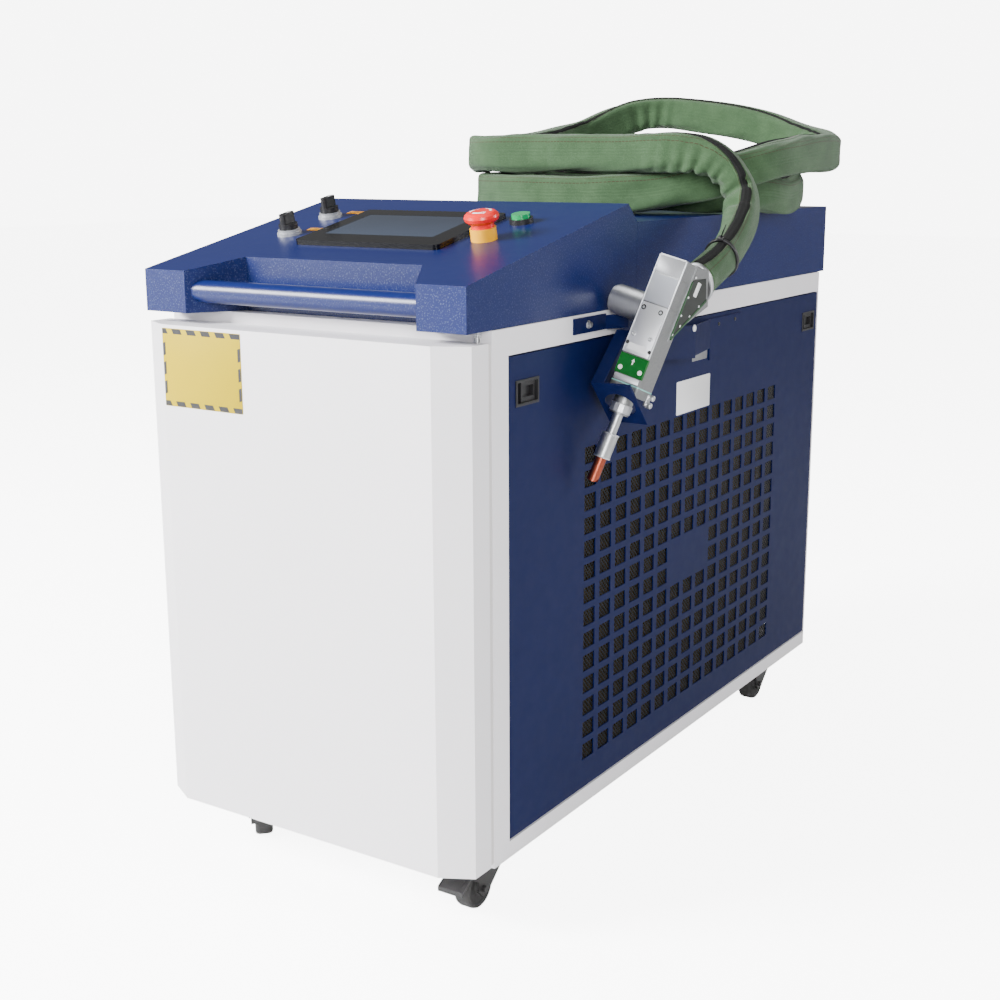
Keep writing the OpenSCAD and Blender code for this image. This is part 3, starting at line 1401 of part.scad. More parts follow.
// Sweep of an oval section: way and side at each point, then the rings and their faces
up = [0, 0, 1];
function ways(p) = [for (i = [0 : len(p) - 1]) unit(p[min(i + 1, len(p) - 1)] - p[max(i - 1, 0)])];
function carried(way, side) = unit(side - (side * way) * way);
function level(way, side) = abs(way[2]) < 0.85 ? unit(cross(up, way)) : carried(way, side);
function coil_sides(t) = [
    for (i = 0, side = unit(cross(up, [gland_x - hose_start[3][0], hose_start[3][1] - gland_y, 0]));
        i < len(t); i = i + 1, side = i < len(t) ? level(t[i], side) : side) side
];
function drop_sides(t, first) = [
    for (i = 0, side = first; i < len(t); i = i + 1, side = i < len(t) ? carried(t[i], side) : side) side
];
function turned(t, s, total) = [
    for (i = [0 : len(s) - 1]) let (a = total * i / (len(s) - 1)) s[i] * cos(a) + cross(t[i], s[i]) * sin(a)
];
function swept(p, t, s, half_from, half_to, n) = [
    for (i = [0 : len(p) - 1], k = [0 : n - 1]) let (
        share = i / (len(p) - 1), h = half_from + (half_to - half_from) * share, a = 360 * k / n
    ) p[i] + s[i] * h[0] * cos(a) + cross(t[i], s[i]) * h[1] * sin(a)
];
module tube(points, rows, n) {
    polyhedron(points, concat(
        [[for (k = [0 : n - 1]) k], [for (k = [n - 1 : -1 : 0]) (rows - 1) * n + k]],
        [for (i = [0 : rows - 2], k = [0 : n - 1], half = [0, 1]) let (
            a = i * n + k, b = i * n + (k + 1) % n, c = b + n, d = a + n
        ) half == 0 ? [a, d, c] : [a, c, b]]
    ));
}
coil_n = 6;
drop_n = 12;
coil_ways = ways(concat(coil_route, [band_next]));
coil_side_list = coil_sides(coil_ways);
coil_half = [sleeve_w / 2, sleeve_h / 2 / sin(60)];
module hose_coil() {
    placed() color([0.35, 0.5, 0.35])
        tube(swept(coil_route, coil_ways, coil_side_list, coil_half, coil_half, coil_n),
            len(coil_route), coil_n);
}
last = len(drop_route) - 1;
drop_ways = let (w = ways(drop_route))
    [for (i = [0 : last]) i == 0 ? band_way : i == last ? -collar_way : w[i]];
drop_carried = drop_sides(drop_ways, level(band_way, up));
end_side = cross(collar_way, collar_side);
drop_turn = atan2(end_side * cross(drop_ways[last], drop_carried[last]), end_side * drop_carried[last]);
module hose_drop() {
    placed() color([0.35, 0.5, 0.35])
        tube(swept(drop_route, drop_ways, turned(drop_ways, drop_carried, drop_turn),
            [sleeve_w / 2, sleeve_h / 2],
            [collar_ry, collar_rx], drop_n), len(drop_route), drop_n);
}
whole_route = concat(coil_route, [for (i = [1 : last]) drop_route[i]]);
steps = [for (i = [1 : len(whole_route) - 1]) norm(whole_route[i] - whole_route[i - 1])];
run = [for (i = 0, s = 0; i < len(whole_route); s = s + (i < len(steps) ? steps[i] : 0), i = i + 1) s];
function apart(p, q) = norm([norm([p[0] - q[0], p[1] - q[1]]) / sleeve_w, (p[2] - q[2]) / sleeve_h]) - 1;
least_gap = min([
    for (i = [0 : len(whole_route) - 1], j = [i + 1 : len(whole_route) - 1])
        if (run[j] - run[i] > 3 * sleeve_w) apart(whole_route[i], whole_route[j]) * sleeve_w
]);
echo(hose_length = run[len(run) - 1], least_gap = least_gap);

base_pan();
frame_posts();
top_rails();
front_cover();
right_panel();
rear_panel();
console_shell();
rear_cover();
push_handle();
hmi_bezel();
hmi_screen();
selector_rings();
e_stop_collar();
start_button_base();
gun_holder();
right_latches();
hose_gland();
condenser();
fan_shroud();
compressor();
water_tank();
coolant_pump();
equipment_shelf();
laser_source();
power_supply();
caster_plates();
mains_switch();
rear_fittings();
left_panel();
left_latches();
latch_slide_right_front();
latch_slide_right_rear();
latch_slide_left_front();
latch_slide_left_rear();
front_selector();
rear_selector();
e_stop_stem();
e_stop_cap();
start_button_lens();
fan_rotor();
filler_cap();
mains_lever();
fork_front_left();
fork_front_right();
fork_rear_left();
fork_rear_right();
wheel_front_left();
wheel_front_right();
wheel_rear_left();
wheel_rear_right();
brake_pedal_left();
brake_pedal_right();
gun_body();
gun_motor();
gun_handle();
gun_trigger();
lens_drawer();
nozzle();
hose_drop();
hose_coil();
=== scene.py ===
import math
import bmesh
import bpy
import numpy as np
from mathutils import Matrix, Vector


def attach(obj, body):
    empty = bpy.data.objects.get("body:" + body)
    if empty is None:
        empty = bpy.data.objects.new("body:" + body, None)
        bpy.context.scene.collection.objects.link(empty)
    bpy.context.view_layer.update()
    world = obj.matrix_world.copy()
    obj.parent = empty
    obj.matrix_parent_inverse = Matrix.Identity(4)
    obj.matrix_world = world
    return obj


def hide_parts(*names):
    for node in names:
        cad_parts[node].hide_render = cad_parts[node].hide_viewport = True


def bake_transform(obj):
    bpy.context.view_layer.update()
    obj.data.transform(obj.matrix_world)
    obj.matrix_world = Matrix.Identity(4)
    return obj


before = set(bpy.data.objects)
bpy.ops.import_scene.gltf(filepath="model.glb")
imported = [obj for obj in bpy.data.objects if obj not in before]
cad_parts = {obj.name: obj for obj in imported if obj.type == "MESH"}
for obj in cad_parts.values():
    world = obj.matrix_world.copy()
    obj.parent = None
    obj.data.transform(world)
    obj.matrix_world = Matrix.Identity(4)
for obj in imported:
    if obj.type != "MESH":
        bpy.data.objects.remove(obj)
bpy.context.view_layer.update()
print("frame loaded")

# sizes of the machine in mm: x from the middle, y from the front posts, z from the floor
cabinet = {"halfW": 227.0, "panelX": 226.25, "coverTop": 771.6, "consoleZ": 673.3,
           "consoleFront": 43.4, "consoleFrontH": 48.3, "slope": 12.0, "rearY": 935.0, "coverDepth": 57.0}
gun = {"corner": (256.0, 193.5, 591.8), "width": 35.3, "depth": 43.0, "length": 162.7, "leanOut": 14.1,
       "leanBack": 18.3}


def turnGun(p):
    # a vector of the gun's own axes, turned as the gun leans: back about x first, then out about y
    p = np.asarray(p, float)
    back, out = math.radians(gun["leanBack"]), math.radians(gun["leanOut"])
    y = p[..., 1] * math.cos(back) + p[..., 2] * math.sin(back)
    z = p[..., 2] * math.cos(back) - p[..., 1] * math.sin(back)
    return np.stack([p[..., 0] * math.cos(out) + z * math.sin(out), y,
                     z * math.cos(out) - p[..., 0] * math.sin(out)], -1)


gunReach = gun["corner"][0] + turnGun([gun["width"], 0, gun["length"]])[0]
shift = np.array([(gunReach - cabinet["halfW"]) / 2, (cabinet["rearY"] - cabinet["coverDepth"]) / 2, 0.0])


def metres(p):
    # cabinet millimetres to the frame's metres: (p - shift) / 1000
    return (np.asarray(p, float) - shift) / 1000


def unit(v):
    # each vector divided by its length
    return v / np.linalg.norm(v, axis=-1, keepdims=True)


# camera first
photo = {"place": (1048.5, -1236.6, 848.2), "yaw": 32.612, "down": 12.765, "roll": 0.083, "lens": 52.23,
         "shiftX": -0.01646, "shiftY": -0.01558}
lens = bpy.data.cameras.new("photoCamera")
cameraObject = bpy.data.objects.new("photoCamera", lens)
bpy.context.scene.collection.objects.link(cameraObject)
lens.lens, lens.sensor_width, lens.clip_end = photo["lens"], 36.0, 60.0
lens.shift_x, lens.shift_y = photo["shiftX"], photo["shiftY"]
cameraObject.location = metres(photo["place"])
cameraObject.rotation_euler = (math.radians(90 - photo["down"]), math.radians(photo["roll"]),
                               math.radians(photo["yaw"]))
bpy.context.scene.camera = cameraObject


# mesh making
def meshFrom(name, points, faces, uv=None, smooth=True):
    # a piece from points and faces, with a UV for each point where one is given
    mesh = bpy.data.meshes.new(name)
    mesh.from_pydata(np.asarray(points, float).reshape(-1, 3).tolist(), [], faces)
    if uv is not None:
        layer = mesh.uv_layers.new(name="along")
        loopVerts = np.zeros(len(mesh.loops), np.int32)
        mesh.loops.foreach_get("vertex_index", loopVerts)
        layer.data.foreach_set("uv", np.asarray(uv, np.float32).reshape(-1, 2)[loopVerts].ravel())
    mesh.polygons.foreach_set("use_smooth", np.full(len(mesh.polygons), smooth))
    mesh.validate()
    piece = bpy.data.objects.new(name, mesh)
    bpy.context.scene.collection.objects.link(piece)
    return piece


def gridFaces(rows, cols, wrap=True):
    # quads of a rows by cols grid, closed round the columns when wrap is set
    i, j = np.meshgrid(np.arange(rows - 1), np.arange(cols if wrap else cols - 1), indexing="ij")
    k = (j + 1) % cols
    return np.stack([i * cols + j, i * cols + k, (i + 1) * cols + k, (i + 1) * cols + j],
                    -1).reshape(-1, 4).tolist()


def tubeFaces(rows, cols):
    # quads of a grid closed both ways
    j, k = np.meshgrid(np.arange(rows), np.arange(cols), indexing="ij")
    nextRow, nextCol = (j + 1) % rows, (k + 1) % cols
    quads = [j * cols + k, j * cols + nextCol, nextRow * cols + nextCol, nextRow * cols + k]
    return np.stack(quads, -1).reshape(-1, 4).tolist()


def loft(name, rings, uv=None, smooth=True):
    # rings of points joined in order, with a flat cap at either end; they run right-handed about their way
    rings = np.asarray(rings, float)
    rows, cols = rings.shape[:2]
    faces = gridFaces(rows, cols) + [list(range(cols))[::-1], list(range((rows - 1) * cols, rows * cols))]
    return meshFrom(name, rings, faces, uv, smooth)


def roundedRect(w, h, r, steps=6):
    # outline of a rectangle with round corners, and its outward normals, anticlockwise
    a = np.linspace(0, np.pi / 2, steps)
    corners = [(w / 2 - r, h / 2 - r, 0), (r - w / 2, h / 2 - r, 1), (r - w / 2, r - h / 2, 2),
               (w / 2 - r, r - h / 2, 3)]
    points, normals = [], []
    for cx, cy, q in corners:
        n = np.stack([np.cos(a + q * np.pi / 2), np.sin(a + q * np.pi / 2)], -1)
        points.append(np.array([cx, cy]) + r * n)
        normals.append(n)
    return np.concatenate(points), np.concatenate(normals)


def circleOutline(r, count=32):
    # points r * (cos a, sin a) for even steps of a, and their outward normals
    a = np.linspace(0, 2 * np.pi, count, endpoint=False)
    n = np.stack([np.cos(a), np.sin(a)], -1)
    return r * n, n


def onBase(base, points, height):
    # flat points laid on a base at a height: origin + x * u + y * v + height * w
    origin, u, v, w = (np.asarray(b, float) for b in base)
    return origin + np.outer(points[:, 0], u) + np.outer(points[:, 1], v) + height * w


def raised(name, outline, base, levels, smooth=True):
    # a plate or boss: its outline drawn in by each level's inset, at that level's height over the base
    points, normals = outline
    rings = [onBase(base, points - normals * inset, height) for inset, height in levels]
    return loft(name, metres(np.array(rings)), None, smooth)


def turned(name, profile, base, count=40, smooth=True):
    # a profile of radius r and height h turned round w: origin + r * (cos a * u + sin a * v) + h * w
    origin, u, v, w = (np.asarray(b, float) for b in base)
    a = np.linspace(0, 2 * np.pi, count, endpoint=False)
    way = np.cos(a)[:, None] * u + np.sin(a)[:, None] * v
    rings = np.array([origin + r * way + h * w for r, h in profile])
    return loft(name, metres(rings), None, smooth)


def joined(name, pieces):
    # several pieces made one, under one name
    bpy.ops.object.select_all(action="DESELECT")
    for p in pieces:
        p.select_set(True)
    bpy.context.view_layer.objects.active = pieces[0]
    if len(pieces) > 1:
        bpy.ops.object.join()
    pieces[0].name = name
    pieces[0].data.name = name
    return pieces[0]


def outwards(piece):
    # turn a closed shell's faces outwards
    b = bmesh.new()
    b.from_mesh(piece.data)
    bmesh.ops.recalc_face_normals(b, faces=b.faces)
    b.to_mesh(piece.data)
    b.free()
    return piece


def finishPiece(piece, material, body):
    # the piece's material and the body it rides on
    piece.data.materials.clear()
    piece.data.materials.append(material)
    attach(piece, body)
    return piece


def slopeBase(x, s, up=0.0, spin=0.0):
    # axes on the console's slope: u across, v up the slope, w out of it
    t = math.radians(cabinet["slope"])
    v0, w = np.array([0, math.cos(t), math.sin(t)]), np.array([0, -math.sin(t), math.cos(t)])
    u0 = np.array([1.0, 0, 0])
    a = math.radians(spin)
    u, v = u0 * math.cos(a) + v0 * math.sin(a), v0 * math.cos(a) - u0 * math.sin(a)
    origin = np.array([x, -cabinet["consoleFront"],
                       cabinet["consoleZ"] + cabinet["consoleFrontH"]]) + s * v0 + up * w
    return origin, u, v, w


def gunPoint(x, y, z):
    # a point of the gun's own axes in the cabinet's
    return np.array(gun["corner"]) + turnGun([x, y, z])


def axisBase(x, y, z):
    # the gun's own three axes at a point
    return gunPoint(x, y, z), turnGun([1.0, 0, 0]), turnGun([0, 1.0, 0]), turnGun([0, 0, 1.0])


def gunBase(x, y, z, face="front"):
    # axes on a face of the gun's housing
    faces = {"front": ((1, 0, 0), (0, 0, 1), (0, -1, 0)), "side": ((0, 1, 0), (0, 0, 1), (1, 0, 0)),
             "below": ((0, 1, 0), (1, 0, 0), (0, 0, -1)), "inner": ((0, -1, 0), (0, 0, 1), (-1, 0, 0))}
    u, v, w = (turnGun(a) for a in faces[face])
    return gunPoint(x, y, z), u, v, w


def sideBase(x, y, z):
    # axes on the right side: u back, v up, w out to the right
    return np.array([x, y, z]), np.array([0, 1.0, 0]), np.array([0, 0, 1.0]), np.array([1.0, 0, 0])


def frontBase(x, y, z):
    # axes on the front: u to the right, v up, w out to the front
    return np.array([x, y, z]), np.array([1.0, 0, 0]), np.array([0, 0, 1.0]), np.array([0, -1.0, 0])


# materials
def linear(r, g, b):
    # screen values 0 to 255 to linear colour
    c = np.array([r, g, b]) / 255.0
    out = np.where(c <= 0.04045, c / 12.92, ((c + 0.055) / 1.055) ** 2.4)
    return (float(out[0]), float(out[1]), float(out[2]), 1.0)


def newGroup(name, inputs, outputs):
    # an empty shader node group with its named sockets
    group = bpy.data.node_groups.new(name, "ShaderNodeTree")
    for title, kind, value in inputs:
        socket = group.interface.new_socket(name=title, in_out="INPUT", socket_type=kind)
        if value is not None:
            socket.default_value = value
    for title, kind in outputs:
        group.interface.new_socket(name=title, in_out="OUTPUT", socket_type=kind)
    return group, group.nodes.new("NodeGroupInput"), group.nodes.new("NodeGroupOutput")


def node(tree, kind, links=None, **values):
    # a node with its settings, and links given as {input: source socket or value}
    made = tree.nodes.new(kind)
    for key, value in values.items():
        setattr(made, key, value)
    for key, source in (links or {}).items():
        if isinstance(source, bpy.types.NodeSocket):
            tree.links.new(source, made.inputs[key])
        else:
            made.inputs[key].default_value = source
    return made


def mathNode(tree, operation, a, b=None, c=None, clamp=False):
    # one Math node; each input is a socket or a number
    made = node(tree, "ShaderNodeMath", operation=operation, use_clamp=clamp)
    for i, source in enumerate([a, b, c]):
        if source is None:
            continue
        if isinstance(source, bpy.types.NodeSocket):
            tree.links.new(source, made.inputs[i])
        else:
            made.inputs[i].default_value = source
    return made.outputs[0]


def mixColour(tree, factor, a, b):
    # colour a goes to b as the factor goes from 0 to 1
    made = node(tree, "ShaderNodeMix", data_type="RGBA")
    for key, source in ((0, factor), (6, a), (7, b)):
        if isinstance(source, bpy.types.NodeSocket):
            tree.links.new(source, made.inputs[key])
        else:
            made.inputs[key].default_value = source
    return made.outputs[2]


def grainGroup():
    # fine bumps, broad tone changes and small pale painted highlights (glints) on steep faces, all from
    # Object coordinates
    group, gi, go = newGroup("surfaceGrain", [
        ("Colour", "NodeSocketColor", (0.5, 0.5, 0.5, 1)), ("Worn", "NodeSocketColor", (0.6, 0.6, 0.6, 1)),
        ("Grain Scale", "NodeSocketFloat", 900.0), ("Grain Depth", "NodeSocketFloat", 0.2),
        ("Tone", "NodeSocketFloat", 0.1), ("Rough", "NodeSocketFloat", 0.4),
        ("Rough Spread", "NodeSocketFloat", 0.15), ("Painted Glint", "NodeSocketFloat", 0.0)],
        [("Colour", "NodeSocketColor"), ("Roughness", "NodeSocketFloat"), ("Normal", "NodeSocketVector")])
    place = node(group, "ShaderNodeTexCoord").outputs["Object"]
    fine = node(group, "ShaderNodeTexNoise",
                {"Vector": place, "Scale": gi.outputs["Grain Scale"], "Detail": 2.0, "Roughness": 0.6})
    broad = node(group, "ShaderNodeTexNoise", {"Vector": place, "Scale": 7.0, "Detail": 3.0})
    middle = node(group, "ShaderNodeTexNoise", {"Vector": place, "Scale": 60.0, "Detail": 4.0})
    tone = mathNode(group, "MULTIPLY", broad.outputs["Fac"], gi.outputs["Tone"], clamp=True)
    worn = mixColour(group, tone, gi.outputs["Colour"], gi.outputs["Worn"])
    # painted highlight: small pale blue glints where a fine noise peaks, only on faces that don't look up or
    # down, standing in for light caught by the paint's orange peel
    glintNoise = node(group, "ShaderNodeTexNoise", {"Vector": place, "Scale": 560.0, "Detail": 1.0}).outputs["Fac"]
    paintedGlint = mathNode(group, "MULTIPLY_ADD", glintNoise, 5.0, -2.7, clamp=True)
    upward = node(group, "ShaderNodeSeparateXYZ",
                  {0: node(group, "ShaderNodeTexCoord").outputs["Normal"]}).outputs["Z"]
    steep = mathNode(group, "SUBTRACT", 1.0, mathNode(group, "ABSOLUTE", upward))
    paintedGlint = mathNode(group, "MULTIPLY", paintedGlint, mathNode(group, "MULTIPLY", steep, gi.outputs["Painted Glint"]))
    worn = mixColour(group, paintedGlint, worn, (0.36, 0.42, 0.62, 1))
    spread = mathNode(group, "MULTIPLY_ADD", middle.outputs["Fac"], gi.outputs["Rough Spread"],
                      gi.outputs["Rough"])
    bump = node(group, "ShaderNodeBump",
                {"Height": fine.outputs["Fac"], "Strength": gi.outputs["Grain Depth"], "Distance": 0.0004})
    group.links.new(worn, go.inputs["Colour"])
    group.links.new(spread, go.inputs["Roughness"])
    group.links.new(bump.outputs["Normal"], go.inputs["Normal"])
    return group


def brushedGroup():
    # fine lines along one Object axis, as on brushed or turned metal
    group, gi, go = newGroup("brushedLines", [
        ("Colour", "NodeSocketColor", (0.7, 0.7, 0.7, 1)), ("Dark", "NodeSocketColor", (0.5, 0.5, 0.5, 1)),
        ("Stretch", "NodeSocketVector", (40.0, 40.0, 900.0)), ("Depth", "NodeSocketFloat", 0.1),
        ("Rough", "NodeSocketFloat", 0.3)],
        [("Colour", "NodeSocketColor"), ("Roughness", "NodeSocketFloat"), ("Normal", "NodeSocketVector")])
    place = node(group, "ShaderNodeTexCoord").outputs["Object"]
    stretched = node(group, "ShaderNodeVectorMath", {0: place, 1: gi.outputs["Stretch"]},
                     operation="MULTIPLY")
    lines = node(group, "ShaderNodeTexNoise", {"Vector": stretched.outputs[0], "Scale": 1.0, "Detail": 3.0})
    blotch = node(group, "ShaderNodeTexNoise", {"Vector": place, "Scale": 30.0, "Detail": 2.0})
    tone = mathNode(group, "MULTIPLY", lines.outputs["Fac"], blotch.outputs["Fac"], clamp=True)
    colour = mixColour(group, tone, gi.outputs["Colour"], gi.outputs["Dark"])
    rough = mathNode(group, "MULTIPLY_ADD", lines.outputs["Fac"], 0.18, gi.outputs["Rough"])
    bump = node(group, "ShaderNodeBump",
                {"Height": lines.outputs["Fac"], "Strength": gi.outputs["Depth"], "Distance": 0.0003})
    group.links.new(colour, go.inputs["Colour"])
    group.links.new(rough, go.inputs["Roughness"])
    group.links.new(bump.outputs["Normal"], go.inputs["Normal"])
    return group


grain, brushed = grainGroup(), brushedGroup()


def baseMaterial(name, metallic=0.0, coat=0.0, coatRough=0.1, specular=0.5):
    # a material with the values that are the same all over the surface
    material = bpy.data.materials.new(name)
    material.use_nodes = True
    shader = material.node_tree.nodes["Principled BSDF"]
    shader.inputs["Metallic"].default_value = metallic
    shader.inputs["Coat Weight"].default_value = coat
    shader.inputs["Coat Roughness"].default_value = coatRough
    shader.inputs["Specular IOR Level"].default_value = specular
    return material, material.node_tree, shader


def linkFinish(tree, made, shader):
    # a finish group's three outputs into the shader
    for out, into in (("Colour", "Base Color"), ("Roughness", "Roughness"), ("Normal", "Normal")):
        tree.links.new(made.outputs[out], shader.inputs[into])


def grainMaterial(name, colour, worn, scale=900.0, depth=0.2, tone=0.3, rough=0.4, spread=0.12, fleck=0.0,
                  **shaderValues):
    # paint or plastic: the grain group feeds colour, roughness and bump, and fleck sets how strong its
    # painted glints (painted highlights) are
    material, tree, shader = baseMaterial(name, **shaderValues)
    made = node(tree, "ShaderNodeGroup", node_tree=grain)
    for key, value in (("Colour", colour), ("Worn", worn), ("Grain Scale", scale), ("Grain Depth", depth),
                       ("Tone", tone), ("Rough", rough - spread / 2), ("Rough Spread", spread),
                       ("Painted Glint", fleck)):
        made.inputs[key].default_value = value
    linkFinish(tree, made, shader)
    return material


def brushedMaterial(name, colour, dark, stretch, depth=0.1, rough=0.28, **shaderValues):
    # metal: the brushed group feeds colour, roughness and bump
    shaderValues.setdefault("metallic", 1.0)
    material, tree, shader = baseMaterial(name, **shaderValues)
    made = node(tree, "ShaderNodeGroup", node_tree=brushed)
    for key, value in (("Colour", colour), ("Dark", dark), ("Stretch", stretch), ("Depth", depth),
                       ("Rough", rough)):
        made.inputs[key].default_value = value
    linkFinish(tree, made, shader)
    return material


paint = {
    # the blue powder coat carries painted highlights: pale glints on its steep faces, set by fleck
    "blue": grainMaterial("bluePowderCoat", linear(10, 24, 76), linear(15, 30, 86), 420, 0.025, 0.6, 0.29,
                          0.06, specular=0.33, fleck=0.12),
    "bluePanel": grainMaterial("bluePanelCoat", linear(5, 16, 60), linear(8, 21, 68), 420, 0.02, 0.6, 0.5,
                               0.10, specular=0.16),
    "white": grainMaterial("whitePowderCoat", linear(229, 227, 231), linear(237, 234, 237), 420, 0.02, 0.7,
                           0.42, 0.10),
    "black": grainMaterial("blackPlastic", linear(22, 22, 24), linear(38, 38, 40), 2200, 0.3, 0.5,
                           0.42, 0.15),
    "blackSteel": grainMaterial("blackSteel", linear(26, 26, 28), linear(52, 50, 48), 1600, 0.3, 0.6,
                                0.36, 0.15),
    "glossBlack": grainMaterial("glossBlack", linear(8, 8, 10), linear(14, 14, 16), 700, 0.02, 0.5, 0.2,
                                0.05, specular=0.3),
    "rubber": grainMaterial("casterRubber", linear(24, 24, 25), linear(52, 50, 48), 1800, 0.4, 0.6,
                            0.62, 0.2),
    "red": grainMaterial("redPlastic", linear(226, 26, 26), linear(236, 44, 38), 1500, 0.05, 0.5, 0.30,
                         0.08, specular=0.4, coat=0.1),
    "yellow": grainMaterial("yellowPlastic", linear(246, 172, 0), linear(250, 182, 0), 1500, 0.05, 0.5,
                            0.36, 0.08, specular=0.3),
    "green": grainMaterial("greenLens", linear(0, 136, 74), linear(10, 176, 100), 900, 0.06, 0.8, 0.14,
                           0.06, coat=0.6),
    "chrome": brushedMaterial("chromeSteel", (0.62, 0.63, 0.65, 1), (0.46, 0.47, 0.49, 1),
                              (120.0, 120.0, 120.0), 0.0, 0.38),
    "steel": brushedMaterial("brushedSteel", (0.52, 0.53, 0.54, 1), (0.32, 0.32, 0.33, 1),
                             (80.0, 80.0, 1500.0), 0.08, 0.26),
    "aluminium": brushedMaterial("satinAluminium", (0.30, 0.305, 0.31, 1), (0.20, 0.205, 0.21, 1),
                                 (1500.0, 200.0, 90.0), 0.03, 0.34),
    "darkAluminium": brushedMaterial("darkAluminium", (0.50, 0.51, 0.53, 1), (0.34, 0.34, 0.35, 1),
                                     (900.0, 90.0, 90.0), 0.08, 0.34),
    "anodisedGreen": brushedMaterial("greenAnodised", linear(16, 112, 38), linear(8, 84, 26),
                                     (900.0, 120.0, 90.0), 0.05, 0.34, metallic=0.55),
    "goldFins": brushedMaterial("goldFins", linear(104, 76, 26), linear(44, 31, 12), (90.0, 90.0, 600.0),
                                0.1, 0.42),
    "smoked": grainMaterial("smokedSheet", linear(14, 20, 16), linear(26, 32, 27), 400, 0.05, 0.8, 0.3, 0.1,
                            specular=0.2),
    "edgeGreen": grainMaterial("sheetEdge", linear(14, 50, 20), linear(30, 80, 36), 500, 0.1, 0.8, 0.35,
                               0.1, specular=0.3),
    "brightAluminium": brushedMaterial("brightAluminium", (0.86, 0.87, 0.90, 1), (0.74, 0.75, 0.78, 1),
                                       (1500.0, 200.0, 90.0), 0.02, 0.42),
    "greyAluminium": brushedMaterial("greyAluminium", (0.34, 0.345, 0.36, 1), (0.22, 0.225, 0.235, 1),
                                     (1500.0, 260.0, 90.0), 0.03, 0.44),
    "satin": grainMaterial("satinSilver", linear(166, 168, 172), linear(180, 182, 186), 300, 0.0, 0.5, 0.42,
                           0.04, metallic=0.4),
    "labelGrey": grainMaterial("greyLabel", linear(150, 153, 161), linear(160, 163, 170), 500, 0.03, 0.8,
                               0.4, 0.1),
    "blackMesh": grainMaterial("blackMesh", linear(12, 12, 13), linear(24, 23, 22), 1600, 0.3, 0.5,
                               0.5, 0.15),
    "plate": grainMaterial("barePlate", linear(232, 232, 234), linear(244, 244, 244), 900, 0.04, 0.5,
                           0.34, 0.1),
    "tank": grainMaterial("tankPlastic", linear(222, 222, 214), linear(236, 236, 230), 900, 0.2, 0.5,
                          0.45, 0.1),
    "seal": grainMaterial("paleSeal", linear(206, 202, 202), linear(190, 186, 186), 1500, 0.3, 0.5,
                          0.6, 0.15),
}
print("materials made")

# hose: one woven sleeve from the gland, twice round the rear cover and down to the gun, in mm
hose = {"wide": 44.0, "high": 54.0, "endWide": 52.0, "endHigh": 41.0, "square": 4.2, "length": 3.5494,
        "diameter": 0.05, "seat": 0.3, "glandHigh": 14.0, "wrinkle": 3.4, "pleat": 4.8, "pleatAngle": 215,
        "press": 1.5, "around": 96, "step": 3.7, "swell": 0.075, "seamAngle": 158}
layerLow = cabinet["coverTop"] + hose["high"] / 2 + hose["seat"]
layerHigh = layerLow + hose["high"] - hose["press"]
glandTop = cabinet["coverTop"] + hose["glandHigh"]


def ease(t):
    # a smooth step from 0 to 1: 3 t^2 - 2 t^3
    c = np.clip(t, 0, 1)
    return c * c * (3 - 2 * c)


def bell(v):
    # a bell curve: e^(-v^2)
    return np.exp(-v * v)


def hoseRoute():
    # a rise from the gland, two loops, the front band and the drop to the gun, along the CAD's route;
    # a loop is a superellipse: half width * sign(cos a) * |cos a|^share, and the same with the sine
    gx, gy = -40.0, 700.0
    start = np.array([[gx, gy, glandTop], [gx, gy, glandTop + 30], [gx - 3, gy - 6, layerLow + 40],
                      [gx - 16, gy - 32, layerLow + 53], [gx - 28, gy - 75, layerLow + 43],
                      [gx - 20, gy - 120, layerLow + 17], [gx + 20, gy - 155, layerLow + 4],
                      [gx + 80, gy - 172, layerLow + 2]])
    a = np.arange(-60, 601, 15.0)
    c, s = np.cos(np.radians(a)), np.sin(np.radians(a))
    share = 0.8 - 0.17 * ease((a - 285) / 30) * (1 - ease((a - 440) / 60))
    size = 0.7 + 0.3 * ease((a - 90) / 120) + 0.05 * ease((a - 290) / 60)
    over = 84 * (1 - ease((a - 60) / 60)) + 50 * ease((a - 290) / 60) * (1 - ease((a - 430) / 60))
    loops = np.stack([30 + 190 * size * np.sign(c) * np.abs(c) ** share + over * np.maximum(0, c),
                      690 + 230 * size * np.sign(s) * np.abs(s) ** share,
                      layerLow + (layerHigh - layerLow) * ease((a - 290) / 80) + 64 * bell((a - 468) / 45)
                      - 6 * bell(a / 8)], -1)
    bandEnd = np.array([200, 468, layerHigh])
    sin45, cos45 = math.sin(math.radians(45)), math.cos(math.radians(45))
    collarWay = turnGun([0, sin45, cos45])
    collarEnd = gunPoint(gun["width"] / 2, 84 + 8 * sin45, 150 + 8 * cos45)
    band = np.array([[20, 474, layerHigh], [110, 470, layerHigh], bandEnd])
    drop = bandEnd + np.array([[35, 6, -5], [62, 16, -22], [80, 19, -48], [90, 2, -72], [98, -25, -92],
                               [104, -60, -111]])
    drop = np.concatenate([drop, [collarEnd + 48.4 * collarWay, collarEnd + 0.3 * collarWay]])
    return (np.concatenate([start, loops, band, drop]), len(start) + len(loops) + len(band) - 1,
            collarWay, collarEnd, bandEnd)


